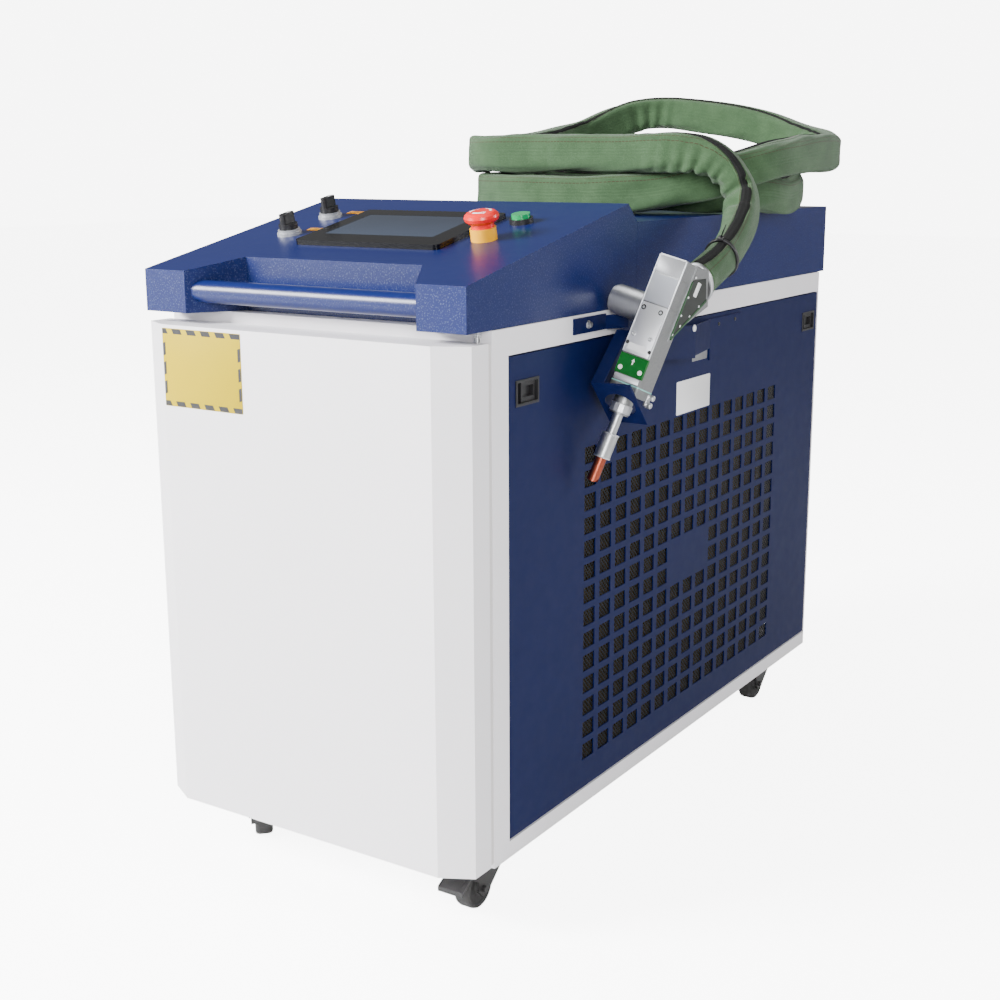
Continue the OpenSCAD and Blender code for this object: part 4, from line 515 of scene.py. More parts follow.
def smoothCurve(points, step, parts=24):
    # centripetal Catmull-Rom through the points, then even steps along its length; also where each point fell
    ends = np.concatenate([[2 * points[0] - points[1]], points, [2 * points[-1] - points[-2]]])
    out, marks = [], [0]
    for i in range(len(points) - 1):
        p = ends[i:i + 4]
        t = np.concatenate([[0], np.cumsum(np.sqrt(np.linalg.norm(np.diff(p, axis=0), axis=1)))])
        u = np.linspace(t[1], t[2], parts, endpoint=False)[:, None]
        a1 = (t[1] - u) / (t[1] - t[0]) * p[0] + (u - t[0]) / (t[1] - t[0]) * p[1]
        a2 = (t[2] - u) / (t[2] - t[1]) * p[1] + (u - t[1]) / (t[2] - t[1]) * p[2]
        a3 = (t[3] - u) / (t[3] - t[2]) * p[2] + (u - t[2]) / (t[3] - t[2]) * p[3]
        b1 = (t[2] - u) / (t[2] - t[0]) * a1 + (u - t[0]) / (t[2] - t[0]) * a2
        b2 = (t[3] - u) / (t[3] - t[1]) * a2 + (u - t[1]) / (t[3] - t[1]) * a3
        out.append((t[2] - u) / (t[2] - t[1]) * b1 + (u - t[1]) / (t[2] - t[1]) * b2)
        marks.append(len(out) * parts)
    fine = np.concatenate(out + [points[-1:]])
    run = np.concatenate([[0], np.cumsum(np.linalg.norm(np.diff(fine, axis=0), axis=1))])
    even = np.linspace(0, run[-1], int(run[-1] / step) + 1)
    return np.stack([np.interp(even, run, fine[:, k]) for k in range(3)], -1), even, run[np.array(marks)]


routePoints, bandIndex, collarWay, collarEnd, bandEnd = hoseRoute()
hosePath, hoseRun, hoseMarks = smoothCurve(routePoints, hose["step"])
bandRun = hoseMarks[bandIndex]


def hoseFrames():
    # way, side and lift at each step: level on the cover, carried along the drop and turned to the collar
    way = unit(np.gradient(hosePath, axis=0))
    up = np.array([0, 0, 1.0])
    side = np.zeros_like(way)
    current = unit(np.cross(up, np.array([16, 32.0, 0]) * -1))
    lastFlat = np.searchsorted(hoseRun, bandRun)
    for i in range(len(way)):
        flat = np.cross(up, way[i])
        level = i <= lastFlat and abs(way[i, 2]) < 0.8
        target = unit(flat) if level else current
        current = unit(current + (target - current) * (0.25 if level else 1.0))
        current = unit(current - (current @ way[i]) * way[i])
        side[i] = current
    endSide = np.cross(collarWay, turnGun([1.0, 0, 0]))
    total = math.atan2(endSide @ np.cross(way[-1], side[-1]), endSide @ side[-1])
    share = np.clip((hoseRun - bandRun) / (hoseRun[-1] - bandRun), 0, 1)
    angle = total * ease(share)
    turnedSide = side * np.cos(angle)[:, None] + np.cross(way, side) * np.sin(angle)[:, None]
    return way, turnedSide, np.cross(way, turnedSide), share


hoseWay, hoseSide, hoseLift, dropShare = hoseFrames()
inward = np.gradient(hoseWay, hoseRun, axis=0)


def hoseSection(angle, rows=slice(None), grow=0.0):
    # the oval section at given angles: half width * sign(cos) * |cos|^power beside the path, sines above it
    c, s = np.cos(angle), np.sin(angle)
    power = 2 / hose["square"] + (1 - 2 / hose["square"]) * np.clip(dropShare[rows] * 1.6, 0, 1)[:, None]
    run = hoseRun[rows]
    slack = hose["swell"] * np.clip(np.minimum(run, hoseRun[-1] - run) / 40, 0, 1)
    wide = hose["wide"] + (hose["endWide"] - hose["wide"]) * dropShare[rows]
    high = hose["high"] + (hose["endHigh"] - hose["high"]) * dropShare[rows]
    # the cloth hangs a little slack, so that both widths waver along the run
    wide = (wide * (1 - slack * (
        0.5 + 0.5 * np.sin(run / 41 + 1.3 * np.sin(run / 87) + 2))))[:, None] / 2 + grow
    high = (high * (1 - slack * (0.5 + 0.5 * np.sin(run / 29 + 1.5 * np.sin(run / 67)))))[:, None] / 2 + grow
    x, y = wide * np.sign(c) * np.abs(c) ** power, high * np.sign(s) * np.abs(s) ** power
    return hosePath[rows, None] + hoseSide[rows, None] * x[..., None] + hoseLift[rows, None] * y[..., None]


def hoseFolds(angle):
    # how far the sleeve draws in: waves along the run, long and soft everywhere, close where a bend is tight
    run = hoseRun[:, None]
    beside, above = (inward * hoseSide).sum(1)[:, None], (inward * hoseLift).sum(1)[:, None]
    inner = beside * np.cos(angle) + above * np.sin(angle)
    tight = np.clip(inner * 140 - 0.35, 0, 1.3)
    soft = 0.5 + 0.5 * np.sin(run / 31 + 1.7 * np.sin(angle * 2 + run / 90)) * np.sin(angle * 3 + run / 57)
    folds = 0.5 + 0.5 * np.sin(run / 4.6 + 0.9 * np.sin(angle * 2 + run / 43) + 0.6 * np.sin(run / 17))
    # slanting pleats where the sleeve turns down to the gun
    past = np.mod(angle, 2 * np.pi) - math.radians(hose["pleatAngle"])
    pleats = (bell((run - bandRun - 22) / 42) * bell(past / 0.95)
              * (0.5 + 0.5 * np.sin(run / 2.9 + 1.9 * past)) ** 1.5)
    ends = np.clip(np.minimum(hoseRun, hoseRun[-1] - hoseRun) / 12, 0, 1)[:, None]
    return (2.8 * soft + hose["wrinkle"] * folds * tight + hose["pleat"] * pleats) * ends


def hoseSurface(name):
    # the section carried along the path and drawn in by the folds, capped at both ends
    around = hose["around"]
    angle = np.tile(np.linspace(0, 2 * np.pi, around, endpoint=False), (len(hosePath), 1))
    centre = hosePath[:, None]
    rings = hoseSection(angle)
    rings = rings - unit(rings - centre) * hoseFolds(angle)[..., None]
    # u runs along the sleeve in metres, v once round it, with a doubled column at the seam
    rings = np.concatenate([rings, rings[:, :1]], 1)
    rows, cols = rings.shape[:2]
    uv = np.stack(np.broadcast_arrays(hoseRun[:, None] / 1000, np.linspace(0, 1, cols)[None]), -1)
    faces = gridFaces(rows, cols, wrap=False)
    caps = metres(hosePath[[0, -1]])
    points = np.concatenate([metres(rings).reshape(-1, 3), caps])
    uv = np.concatenate([uv.reshape(-1, 2), [[0, 0], [hoseRun[-1] / 1000, 0]]])
    first, last = len(points) - 2, len(points) - 1
    base = (rows - 1) * cols
    faces += ([[first, k + 1, k] for k in range(cols - 1)]
              + [[last, base + k, base + k + 1] for k in range(cols - 1)])
    return meshFrom(name, points, faces, uv)


def hoseStrip(name, angles, width, rise, fromRun, sink=2.2, edge=0.35):
    # a flat strip that lies on the sleeve at an angle round the section that may change along the run
    rows = np.where(hoseRun >= fromRun)[0]
    middle = np.interp(hoseRun[rows], [a for a, _ in angles], [math.radians(b) for _, b in angles])
    half = (width(hoseRun[rows]) if callable(width) else np.full(len(rows), float(width))) / 2
    radius = np.linalg.norm(hoseSection(middle[:, None], rows)[:, 0] - hosePath[rows], axis=1)
    steps = np.array([-1, -0.85, -0.3, 0.3, 0.85, 1, 0.85, 0.3, -0.3, -0.85])
    lift = np.array([0, rise, rise, rise, rise, 0, -sink, -sink, -sink, -sink])
    lift[[0, 5]] = rise * (1 - edge) - 0.3
    angle = middle[:, None] + steps * (half / radius)[:, None]
    base = hoseSection(angle, rows)
    away = unit(base - hosePath[rows, None])
    rings = base - away * hoseFolds(np.zeros((len(hosePath), 1))
                                    + np.interp(hoseRun, hoseRun[rows], middle)[:, None])[rows][..., None]
    rings = rings + away * lift[None, :, None]
    uv = np.stack(np.broadcast_arrays(hoseRun[rows, None] / 1000, np.linspace(0, 1, len(steps))[None]), -1)
    return loft(name, metres(rings), uv)


def weaveGroup():
    # a plain canvas weave on the piece's own UV: threads along and threads round, with a fuzz of noise
    group, gi, go = newGroup("sleeveWeave", [
        ("Colour", "NodeSocketColor", (0.2, 0.3, 0.2, 1)), ("Light", "NodeSocketColor", (0.4, 0.5, 0.4, 1)),
        ("Dark", "NodeSocketColor", (0.1, 0.15, 0.1, 1)), ("Threads Along", "NodeSocketFloat", 500.0),
        ("Threads Round", "NodeSocketFloat", 90.0), ("Depth", "NodeSocketFloat", 0.6)],
        [("Colour", "NodeSocketColor"), ("Normal", "NodeSocketVector"), ("Along", "NodeSocketFloat"),
         ("Round", "NodeSocketFloat")])
    uv = node(group, "ShaderNodeUVMap", uv_map="along").outputs["UV"]
    parts = node(group, "ShaderNodeSeparateXYZ", {0: uv})
    place = node(group, "ShaderNodeTexCoord").outputs["Object"]
    wobble = node(group, "ShaderNodeTexNoise", {"Vector": place, "Scale": 55.0, "Detail": 2.0}).outputs["Fac"]
    shift = mathNode(group, "MULTIPLY_ADD", wobble, 2.4, -1.2)
    along = mathNode(group, "MULTIPLY_ADD", parts.outputs["X"], gi.outputs["Threads Along"], shift)
    roundly = mathNode(group, "MULTIPLY", parts.outputs["Y"], gi.outputs["Threads Round"])
    left = mathNode(group, "SINE", mathNode(group, "MULTIPLY", along, 2 * math.pi))
    right = mathNode(group, "SINE", mathNode(group, "MULTIPLY", roundly, 2 * math.pi))
    cross = mathNode(group, "MULTIPLY_ADD", mathNode(group, "MULTIPLY", left, right), 0.5, 0.5, clamp=True)
    ridge = mathNode(group, "MULTIPLY_ADD", mathNode(group, "MAXIMUM", left, right), 0.5, 0.5, clamp=True)
    blotch = node(group, "ShaderNodeTexNoise",
                  {"Vector": place, "Scale": 28.0, "Detail": 5.0, "Roughness": 0.65}).outputs["Fac"]
    fleck = node(group, "ShaderNodeTexNoise", {"Vector": place, "Scale": 620.0, "Detail": 2.0}).outputs["Fac"]
    low = mixColour(group, mathNode(group, "MULTIPLY_ADD", cross, 0.5, 0.5), gi.outputs["Dark"],
                    gi.outputs["Colour"])
    light = mathNode(group, "MULTIPLY", mathNode(group, "MULTIPLY_ADD", blotch, 2.0, -0.75, clamp=True),
                     mathNode(group, "MULTIPLY_ADD", ridge, 0.5, 0.2))
    colour = mixColour(group, light, low, gi.outputs["Light"])
    colour = mixColour(group, mathNode(group, "MULTIPLY_ADD", fleck, 1.2, -0.6, clamp=True), colour,
                       gi.outputs["Light"])
    height = mathNode(group, "MULTIPLY_ADD", fleck, 0.5, ridge)
    bump = node(group, "ShaderNodeBump",
                {"Height": height, "Strength": gi.outputs["Depth"], "Distance": 0.0006})
    for name, socket in (("Colour", colour), ("Normal", bump.outputs["Normal"]),
                         ("Along", parts.outputs["X"]), ("Round", parts.outputs["Y"])):
        group.links.new(socket, go.inputs[name])
    return group


weave = weaveGroup()


def weaveMaterial(name, colour, light, dark, along, roundly, depth, rough=0.85, seam=None, sheen=0.12):
    # cloth: the weave group feeds colour and bump, with a seam drawn at places round the sleeve
    material, tree, shader = baseMaterial(name, specular=0.25)
    g = node(tree, "ShaderNodeGroup", node_tree=weave)
    for key, value in (("Colour", colour), ("Light", light), ("Dark", dark), ("Threads Along", along),
                       ("Threads Round", roundly), ("Depth", depth)):
        g.inputs[key].default_value = value
    source = g.outputs["Colour"]
    if seam:
        # brown stitches in broken lines
        away = mathNode(tree, "MINIMUM",
                        *[mathNode(tree, "ABSOLUTE", mathNode(tree, "SUBTRACT", g.outputs["Round"], place))
                          for place in seam["round"]])
        line = mathNode(tree, "LESS_THAN", away, seam["half"])
        dash = mathNode(tree, "LESS_THAN",
                        mathNode(tree, "FRACT",
                                 mathNode(tree, "MULTIPLY", g.outputs["Along"], seam["perMetre"])), 0.78)
        source = mixColour(tree, mathNode(tree, "MULTIPLY", mathNode(tree, "MULTIPLY", line, dash), 0.75),
                           source, seam["colour"])
    tree.links.new(source, shader.inputs["Base Color"])
    tree.links.new(g.outputs["Normal"], shader.inputs["Normal"])
    spread = node(tree, "ShaderNodeTexNoise", {"Scale": 40.0, "Detail": 3.0})
    tree.links.new(node(tree, "ShaderNodeTexCoord").outputs["Object"], spread.inputs["Vector"])
    tree.links.new(mathNode(tree, "MULTIPLY_ADD", spread.outputs["Fac"], 0.15, rough - 0.07),
                   shader.inputs["Roughness"])
    shader.inputs["Sheen Weight"].default_value = sheen
    shader.inputs["Sheen Roughness"].default_value = 0.5
    return material


canvas = {"colour": linear(55, 82, 52), "light": linear(81, 109, 76), "dark": linear(31, 48, 29)}
sleeveCloth = weaveMaterial("greenCanvas", canvas["colour"], canvas["light"], canvas["dark"], 900.0,
                            150.0, 0.45, seam={"round": (hose["seamAngle"] / 360, 0.385), "half": 0.0045,
                                               "perMetre": 190.0, "colour": linear(58, 40, 28)})
zipCloth = weaveMaterial("blackTape", linear(16, 17, 17), linear(34, 35, 34), linear(7, 7, 7), 900.0, 6.0,
                         0.8, sheen=0.0)
hemCloth = weaveMaterial("greenHem", canvas["colour"], canvas["light"], canvas["dark"], 900.0, 4.0, 0.5,
                         seam={"round": (0.25, 0.32), "half": 0.03, "perMetre": 190.0,
                               "colour": linear(58, 40, 28)})

sleeve = hoseSurface("hoseSleeve")
# where the zip lies round the section, in degrees, and how wide it is, by mm past the start of the drop
zipPlan = {"angles": [(-2350, 90), (-1500, 88), (-1180, 66), (-760, 70), (-650, 52), (-530, 46), (-420, 62),
                      (-60, 66), (30, 118), (90, 150)],
           "widths": [(-1250, 6.0), (-1180, 9.0), (-680, 9.0), (-620, 15.0), (-540, 15.0), (-440, 7.0),
                      (-40, 7.0), (60, 14.0)],
           "firstAngle": 92, "lastAngle": 182, "firstWidth": 6.0, "lastWidth": 16.0, "start": 40.0,
           "rise": 1.0, "hemWide": 2.4, "hemRise": 0.55, "hemGap": 0.055, "radius": 25.0}
zipAngles = ([(0, zipPlan["firstAngle"])] + [(bandRun + a, b) for a, b in zipPlan["angles"]]
             + [(hoseRun[-1], zipPlan["lastAngle"])])


def zipWidth(run):
    # straight between the widths that the plan gives
    runs = [0] + [bandRun + a for a, _ in zipPlan["widths"]] + [hoseRun[-1]]
    return np.interp(run, runs,
                     [zipPlan["firstWidth"]] + [b for _, b in zipPlan["widths"]] + [zipPlan["lastWidth"]])


zipStrip = hoseStrip("zipStrip", zipAngles, zipWidth, zipPlan["rise"], zipPlan["start"])
hemStrips = []
for sign in (-1, 1):
    shifted = [(a, b + sign * math.degrees(float(zipWidth(a)) / 2 / zipPlan["radius"] + zipPlan["hemGap"]))
               for a, b in zipAngles]
    hemStrips.append(hoseStrip("zipHem", shifted, zipPlan["hemWide"], zipPlan["hemRise"], zipPlan["start"]))
hemPiece = joined("zipHem", hemStrips)

tiePlan = {"back": 58.0, "steps": 72, "headShare": 0.52, "head": (7.0, 6.4, 1.0), "tail": (3.6, 1.2, 0.4),
           "tailUp": 2.6,
           "band": [(-2.2, -1.0), (2.2, -1.0), (2.2, 1.2), (1.6, 1.7), (-1.6, 1.7), (-2.2, 1.2)]}


def tieAt(run, name):
    # a cable tie: a thin band drawn round the section, a square head and a cut tail
    i = int(np.searchsorted(hoseRun, run))
    angle = np.linspace(0, 2 * np.pi, tiePlan["steps"], endpoint=False)[None]
    loop = hoseSection(angle, slice(i, i + 1))[0]
    away = unit(loop - hosePath[i])
    rings = np.array([loop + hoseWay[i] * a + away * r for a, r in tiePlan["band"]]).transpose(1, 0, 2)
    band = outwards(meshFrom(name, metres(rings), tubeFaces(*rings.shape[:2])))
    k = int(tiePlan["steps"] * tiePlan["headShare"])
    along = unit(loop[k + 1] - loop[k - 1])
    head = raised("tieHead", roundedRect(*tiePlan["head"]),
                  (loop[k], hoseWay[i], np.cross(away[k], hoseWay[i]), away[k]),
                  [(0.2, 0.4), (0, 0.9), (0, 4.2), (0.7, 4.9)])
    tailWay = unit(along * -0.25 + away[k] * 1.0 + np.array([0, 0, -0.4]))
    start = loop[k] + away[k] * tiePlan["tailUp"]
    tail = raised("tieTail", roundedRect(*tiePlan["tail"]),
                  (start, hoseWay[i], np.cross(tailWay, hoseWay[i]), tailWay),
                  [(0, 0), (0, 14), (0.3, 22), (0.4, 24)])
    return joined(name, [band, head, tail])


tie = tieAt(hoseRun[-1] - tiePlan["back"], "cableTie")
finishList = [(sleeve, sleeveCloth), (zipStrip, zipCloth), (hemPiece, hemCloth), (tie, paint["black"])]
for piece, material in finishList:
    piece.data.materials.clear()
    piece.data.materials.append(material)
    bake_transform(piece)
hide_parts("hose_coil", "hose_drop")
print("hose length", round(float(hoseRun[-1]) / 1000, 4))
print("hose made")

# finishes of the CAD nodes
finishes = {
    "white": ["base_pan", "frame_posts", "top_rails", "front_cover", "equipment_shelf"],
    "blue": ["console_shell", "rear_cover", "push_handle"],
    "bluePanel": ["right_panel", "left_panel", "rear_panel", "gun_holder"],
    "black": ["front_selector", "rear_selector", "start_button_base", "hose_gland", "right_latches",
              "left_latches", "latch_slide_right_front", "latch_slide_right_rear",
              "latch_slide_left_front", "latch_slide_left_rear", "filler_cap", "mains_switch",
              "mains_lever", "fan_rotor", "gun_trigger"],
    "glossBlack": ["hmi_bezel"],
    "blackSteel": ["caster_plates", "fork_front_left", "fork_front_right", "fork_rear_left",
                   "fork_rear_right", "compressor", "brake_pedal_left", "brake_pedal_right"],
    "rubber": ["wheel_front_left", "wheel_front_right", "wheel_rear_left", "wheel_rear_right"],
    "satin": ["selector_rings"], "chrome": ["rear_fittings"], "steel": ["fan_shroud"],
    "red": ["e_stop_cap", "e_stop_stem"], "yellow": ["e_stop_collar"], "green": ["start_button_lens"],
    "aluminium": ["gun_body", "gun_handle"],
    "darkAluminium": ["gun_motor", "laser_source", "power_supply", "coolant_pump"],
    "anodisedGreen": ["lens_drawer"], "goldFins": ["condenser"], "tank": ["water_tank"],
}


def setNode(name, material):
    # a CAD node's finish
    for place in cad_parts[name].material_slots:
        place.material = material


for key, names in finishes.items():
    for name in names:
        setNode(name, paint[key])


def screenMaterial():
    # a dark glass that goes from blue-grey to near black down the slope, with a faint smear
    values = {"near": linear(54, 68, 90), "far": linear(26, 37, 54), "from": -0.42, "to": -0.25}
    material, tree, shader = baseMaterial("touchGlass", coat=0.3, coatRough=0.04)
    place = node(tree, "ShaderNodeTexCoord").outputs["Object"]
    parts = node(tree, "ShaderNodeSeparateXYZ", {0: place})
    share = node(tree, "ShaderNodeMapRange",
                 {"Value": parts.outputs["Y"], "From Min": values["from"], "From Max": values["to"]})
    smear = node(tree, "ShaderNodeTexNoise", {"Vector": place, "Scale": 22.0, "Detail": 4.0})
    mixed = mathNode(tree, "MULTIPLY_ADD", smear.outputs["Fac"], 0.16, share.outputs["Result"], clamp=True)
    tree.links.new(mixColour(tree, mixed, values["near"], values["far"]), shader.inputs["Base Color"])
    tree.links.new(mathNode(tree, "MULTIPLY_ADD", smear.outputs["Fac"], 0.12, 0.06),
                   shader.inputs["Roughness"])
    return material


def nozzleMaterial():
    # bright steel down to the sleeve's end and copper beyond it, split across the gun's axis
    values = {"split": -77.0, "rough": 0.26}
    material, tree, shader = baseMaterial("nozzleSteelAndCopper", metallic=1.0)
    g = node(tree, "ShaderNodeGroup", node_tree=brushed)
    place = node(tree, "ShaderNodeTexCoord").outputs["Object"]
    axis = turnGun([0.0, 0.0, 1.0])
    origin = metres(gunPoint(gun["width"] / 2, 16, values["split"]))
    away = node(tree, "ShaderNodeVectorMath", {0: place, 1: tuple(origin.tolist())}, operation="SUBTRACT")
    along = node(tree, "ShaderNodeVectorMath", {0: away.outputs[0], 1: tuple(axis.tolist())},
                 operation="DOT_PRODUCT")
    low = mathNode(tree, "LESS_THAN", along.outputs["Value"], 0.0)
    g.inputs["Stretch"].default_value = (120.0, 120.0, 300.0)
    g.inputs["Depth"].default_value = 0.0
    g.inputs["Rough"].default_value = values["rough"]
    tree.links.new(mixColour(tree, low, (0.52, 0.53, 0.54, 1), linear(176, 92, 70)), g.inputs["Colour"])
    tree.links.new(mixColour(tree, low, (0.30, 0.31, 0.32, 1), linear(110, 50, 36)), g.inputs["Dark"])
    linkFinish(tree, g, shader)
    return material


setNode("hmi_screen", screenMaterial())
setNode("nozzle", nozzleMaterial())
print("CAD nodes finished")


# front cover: seal, threaded stud and the bare yellow plate
def frameStrip(name, outer, inner, base, depth):
    # a flat rectangular ring: four outlines joined in a closed loop, outer and inner, front and back

    def ring(size, height):
        x, z = size[0] / 2, size[1] / 2
        corners = np.array([[-x, -z], [x, -z], [x, z], [-x, z]])
        edges = [np.linspace(corners[k], corners[(k + 1) % 4], 8, endpoint=False) for k in range(4)]
        return onBase(base, np.concatenate(edges), height)

    rings = np.array([ring(outer, 0), ring(outer, depth), ring(inner, depth), ring(inner, 0)])
    return meshFrom(name, metres(rings), tubeFaces(*rings.shape[:2]), None, False)


seal = {"out": 226.2, "in": 216.0, "low": 78.0, "high": 658.8, "front": -6.1, "depth": 5.8}
sealRing = frameStrip("coverSeal", (2 * seal["out"], seal["high"] - seal["low"]),
                      (2 * seal["in"], seal["high"] - seal["low"] - 20),
                      ((0, seal["front"] + seal["depth"], (seal["low"] + seal["high"]) / 2), (1, 0, 0),
                       (0, 0, 1), (0, -1, 0)), seal["depth"])
finishPiece(sealRing, paint["seal"], "cabinet")


def threadedStud(name, base, radius, length, pitch):
    # a bar whose radius waves once for each pitch: radius - 0.35 + 0.35 cos(2 pi z / pitch)
    z = np.arange(0, length, pitch / 4)
    r = radius - 0.35 + 0.35 * np.cos(2 * np.pi * z / pitch)
    return turned(name, [(0.05, 0)] + list(zip(r, z)) + [(0.05, length)], base, 24)


stud = {"place": (216.0, -10.0, 661.0), "radius": 4.0, "length": 12.2, "pitch": 2.2}
finishPiece(threadedStud("coverStud", (stud["place"], (1, 0, 0), (0, 1, 0), (0, 0, 1)), stud["radius"],
                         stud["length"], stud["pitch"]),
            paint["steel"], "cabinet")

notice = {"left": -188.4, "right": -68.5, "low": 566.9, "high": 656.8, "thick": 0.5, "band": 5.8,
          "sideBand": 4.0, "gap": 8.7, "pitch": 22.2, "topStart": 8.7, "lowStart": 10.6,
          "sideStart": 15.5, "dash": 14.5, "slant": 3.0, "dashRise": 0.12}


def noticePlate():
    # a bare plate with a border: black bands above and below cut by slanting gaps, short dashes at the sides
    w, h = notice["right"] - notice["left"], notice["high"] - notice["low"]
    base = frontBase((notice["left"] + notice["right"]) / 2, -cabinet["coverDepth"],
                     (notice["low"] + notice["high"]) / 2)
    plate = raised("noticePlate", roundedRect(w, h, 1.0), base,
                   [(0, 0), (0, notice["thick"] - 0.15), (0.25, notice["thick"])])
    dashes = []

    def dash(corners):
        heights = (notice["thick"] - 0.05, notice["thick"] + notice["dashRise"])
        rings = [onBase(base, np.asarray(corners, float), height) for height in heights]
        dashes.append(loft("dash", metres(np.array(rings)), None, False))

    left, right, low, high = 0.4 - w / 2, w / 2 - 0.4, 0.4 - h / 2, h / 2 - 0.4
    for z0, first in ((high - notice["band"], notice["topStart"]), (low, notice["lowStart"])):
        starts = [left + first + i * notice["pitch"] for i in range(5)]
        spans = zip([left] + [x + notice["gap"] for x in starts], starts + [right])
        for n, (x0, x1) in enumerate(spans):
            leanStart, leanEnd = (notice["slant"] if n else 0), (notice["slant"] if n < 5 else 0)
            dash([[x0, z0], [x1, z0], [x1 - leanEnd, z0 + notice["band"]],
                  [x0 - leanStart, z0 + notice["band"]]])
    for x0 in (left, right - notice["sideBand"]):
        for i in range(3):
            z1 = high - notice["sideStart"] - i * notice["pitch"]
            z0 = z1 - notice["dash"]
            dash([[x0, z0 - 1.5], [x0 + notice["sideBand"], z0], [x0 + notice["sideBand"], z1],
                  [x0, z1 - 1.5]])
    return plate, joined("noticeDashes", dashes)


plate, dashes = noticePlate()
finishPiece(plate, grainMaterial("yellowFoil", linear(180, 156, 0), linear(186, 164, 0), 700, 0.03, 0.5,
                                 0.5, 0.1, specular=0.08), "cabinet")
finishPiece(dashes, paint["black"], "cabinet")

# bare plates: white on the right panel, two legend plates by the selectors
sidePlate = {"y": 479.5, "z": 542.0, "wide": 99.0, "high": 43.5}
piece = raised("sidePlate", roundedRect(sidePlate["wide"], sidePlate["high"], 1.5),
               sideBase(cabinet["panelX"], sidePlate["y"], sidePlate["z"]),
               [(0, 0), (0, 0.3), (0.25, 0.45)])
finishPiece(piece, paint["plate"], "cabinet")
legend = {"places": [(-118, 190), (-121, 273)], "wide": 34.0, "high": 11.0}
plates = [raised("legend", roundedRect(legend["wide"], legend["high"], 1.0), slopeBase(x, s),
                 [(0, 0), (0, 0.3), (0.2, 0.45)])
          for x, s in legend["places"]]
finishPiece(joined("legendPlates", plates),
            grainMaterial("legendFoil", linear(232, 132, 0), linear(246, 186, 20), 400, 0.03, 0.9, 0.3, 0.1),
            "cabinet")
print("plates made")


# dust mesh behind each vent grid: two layers of slanting wires
dust = {"pitch": 4.6, "wire": 1.5, "yLow": 190.0, "yHigh": 762.0, "zLow": 126.0, "zHigh": 522.0, "back": 2.6}


def dustMesh(name, side):
    # each wire is a four-sided bar clipped to the rectangle: for slope +1 or -1, z = c + slope * y
    w, h = dust["yHigh"] - dust["yLow"], dust["zHigh"] - dust["zLow"]
    bars = []
    for layer, slope in enumerate((1, -1)):
        c = np.arange(-w + 4, h - 4, dust["pitch"] * math.sqrt(2))
        y0 = np.maximum(0, -c)
        y1 = np.minimum(w, h - c)
        z0, z1 = y0 + c, y1 + c
        if slope < 0:
            y0, y1 = w - y0, w - y1
        ends = np.stack([np.stack([y0, z0], -1), np.stack([y1, z1], -1)], 1)
        way = unit(ends[:, 1] - ends[:, 0])
        across = np.stack([-way[:, 1], way[:, 0]], -1) * dust["wire"] / 2
        x = side * (cabinet["panelX"] - dust["back"] - layer * 0.9)
        depth = side * 0.45
        corners = []
        for e in (0, 1):
            for off, dx in ((1, 0), (0, depth), (-1, 0), (0, -depth)):
                p = ends[:, e] + across * off
                corners.append(np.stack([np.full(len(p), x + dx), p[:, 0] + dust["yLow"],
                                         p[:, 1] + dust["zLow"]], -1))
        bars.append(np.stack(corners, 1).reshape(-1, 3))
    points = np.concatenate(bars)
    i = np.arange(4)
    sides = np.stack([i, (i + 1) % 4, 4 + (i + 1) % 4, 4 + i], -1)
    bar = np.concatenate([sides, [[3, 2, 1, 0], [4, 5, 6, 7]]])
    faces = (np.arange(0, len(points), 8)[:, None, None] + bar).reshape(-1, 4).tolist()
    return meshFrom(name, metres(points), faces, None, False)


finishPiece(outwards(dustMesh("dustMeshRight", 1)), paint["blackMesh"], "cabinet")
finishPiece(outwards(dustMesh("dustMeshLeft", -1)), paint["blackMesh"], "left_side_panel")
print("dust mesh made")


# controls: arrows on the stop cap, lines on the selectors
stopCap = {"x": 136, "s": 170, "under": 19.0, "rise": 14.0, "radius": 20.0, "bandIn": 9.6, "bandOut": 12.4,
           "lift": 0.12}


def capHeight(r):
    # the height of the stop cap's top at a radius, straight between five shares of its rise
    share = [0, 0.5, 0.8, 0.95, 1.0]
    height = [1.0, 1.0, 0.9, 0.72, 0.5]
    return stopCap["under"] + stopCap["rise"] * np.interp(r / stopCap["radius"], share, height)


def capArrow(start):
    # a band along an arc that ends in a point, laid on the cap's top: radius and angle are its two parameters
    origin, u, v, w = slopeBase(stopCap["x"], stopCap["s"])
    a = np.concatenate([np.linspace(0, 62, 16), [62.5], np.linspace(64, 84, 6)])
    grow = np.concatenate([np.ones(16), [2.1], np.linspace(2.1, 0.06, 6)])
    middle, half = (stopCap["bandIn"] + stopCap["bandOut"]) / 2, (stopCap["bandOut"] - stopCap["bandIn"]) / 2
    rings = []
    for angle, g in zip(np.radians(start + a), grow):
        r = middle + half * g * np.array([-1, 1, 1, -1])
        h = capHeight(r) + np.array([-0.3, -0.3, stopCap["lift"], stopCap["lift"]])
        rings.append(origin + np.outer(r * math.cos(angle), u) + np.outer(r * math.sin(angle), v)
                     + np.outer(h, w))
    return outwards(loft("capArrow", metres(np.array(rings)), None, False))


finishPiece(joined("stopArrows", [capArrow(a) for a in (10, 130, 250)]), paint["plate"], "stop_cap")
pointer = {"wide": 1.6, "long": 9.0, "up": 26.3}
for name, x, s, body in (("frontPointer", -144, 164, "selector_front"),
                         ("rearPointer", -147, 247, "selector_rear")):
    origin, u, v, w = slopeBase(x, s, pointer["up"] - 0.3)
    piece = raised(name, roundedRect(pointer["wide"], pointer["long"], 0.6), (origin + 6.0 * v, u, v, w),
                   [(0, 0), (0, 0.35), (0.2, 0.5)])
    finishPiece(piece, paint["plate"], body)
print("controls made")


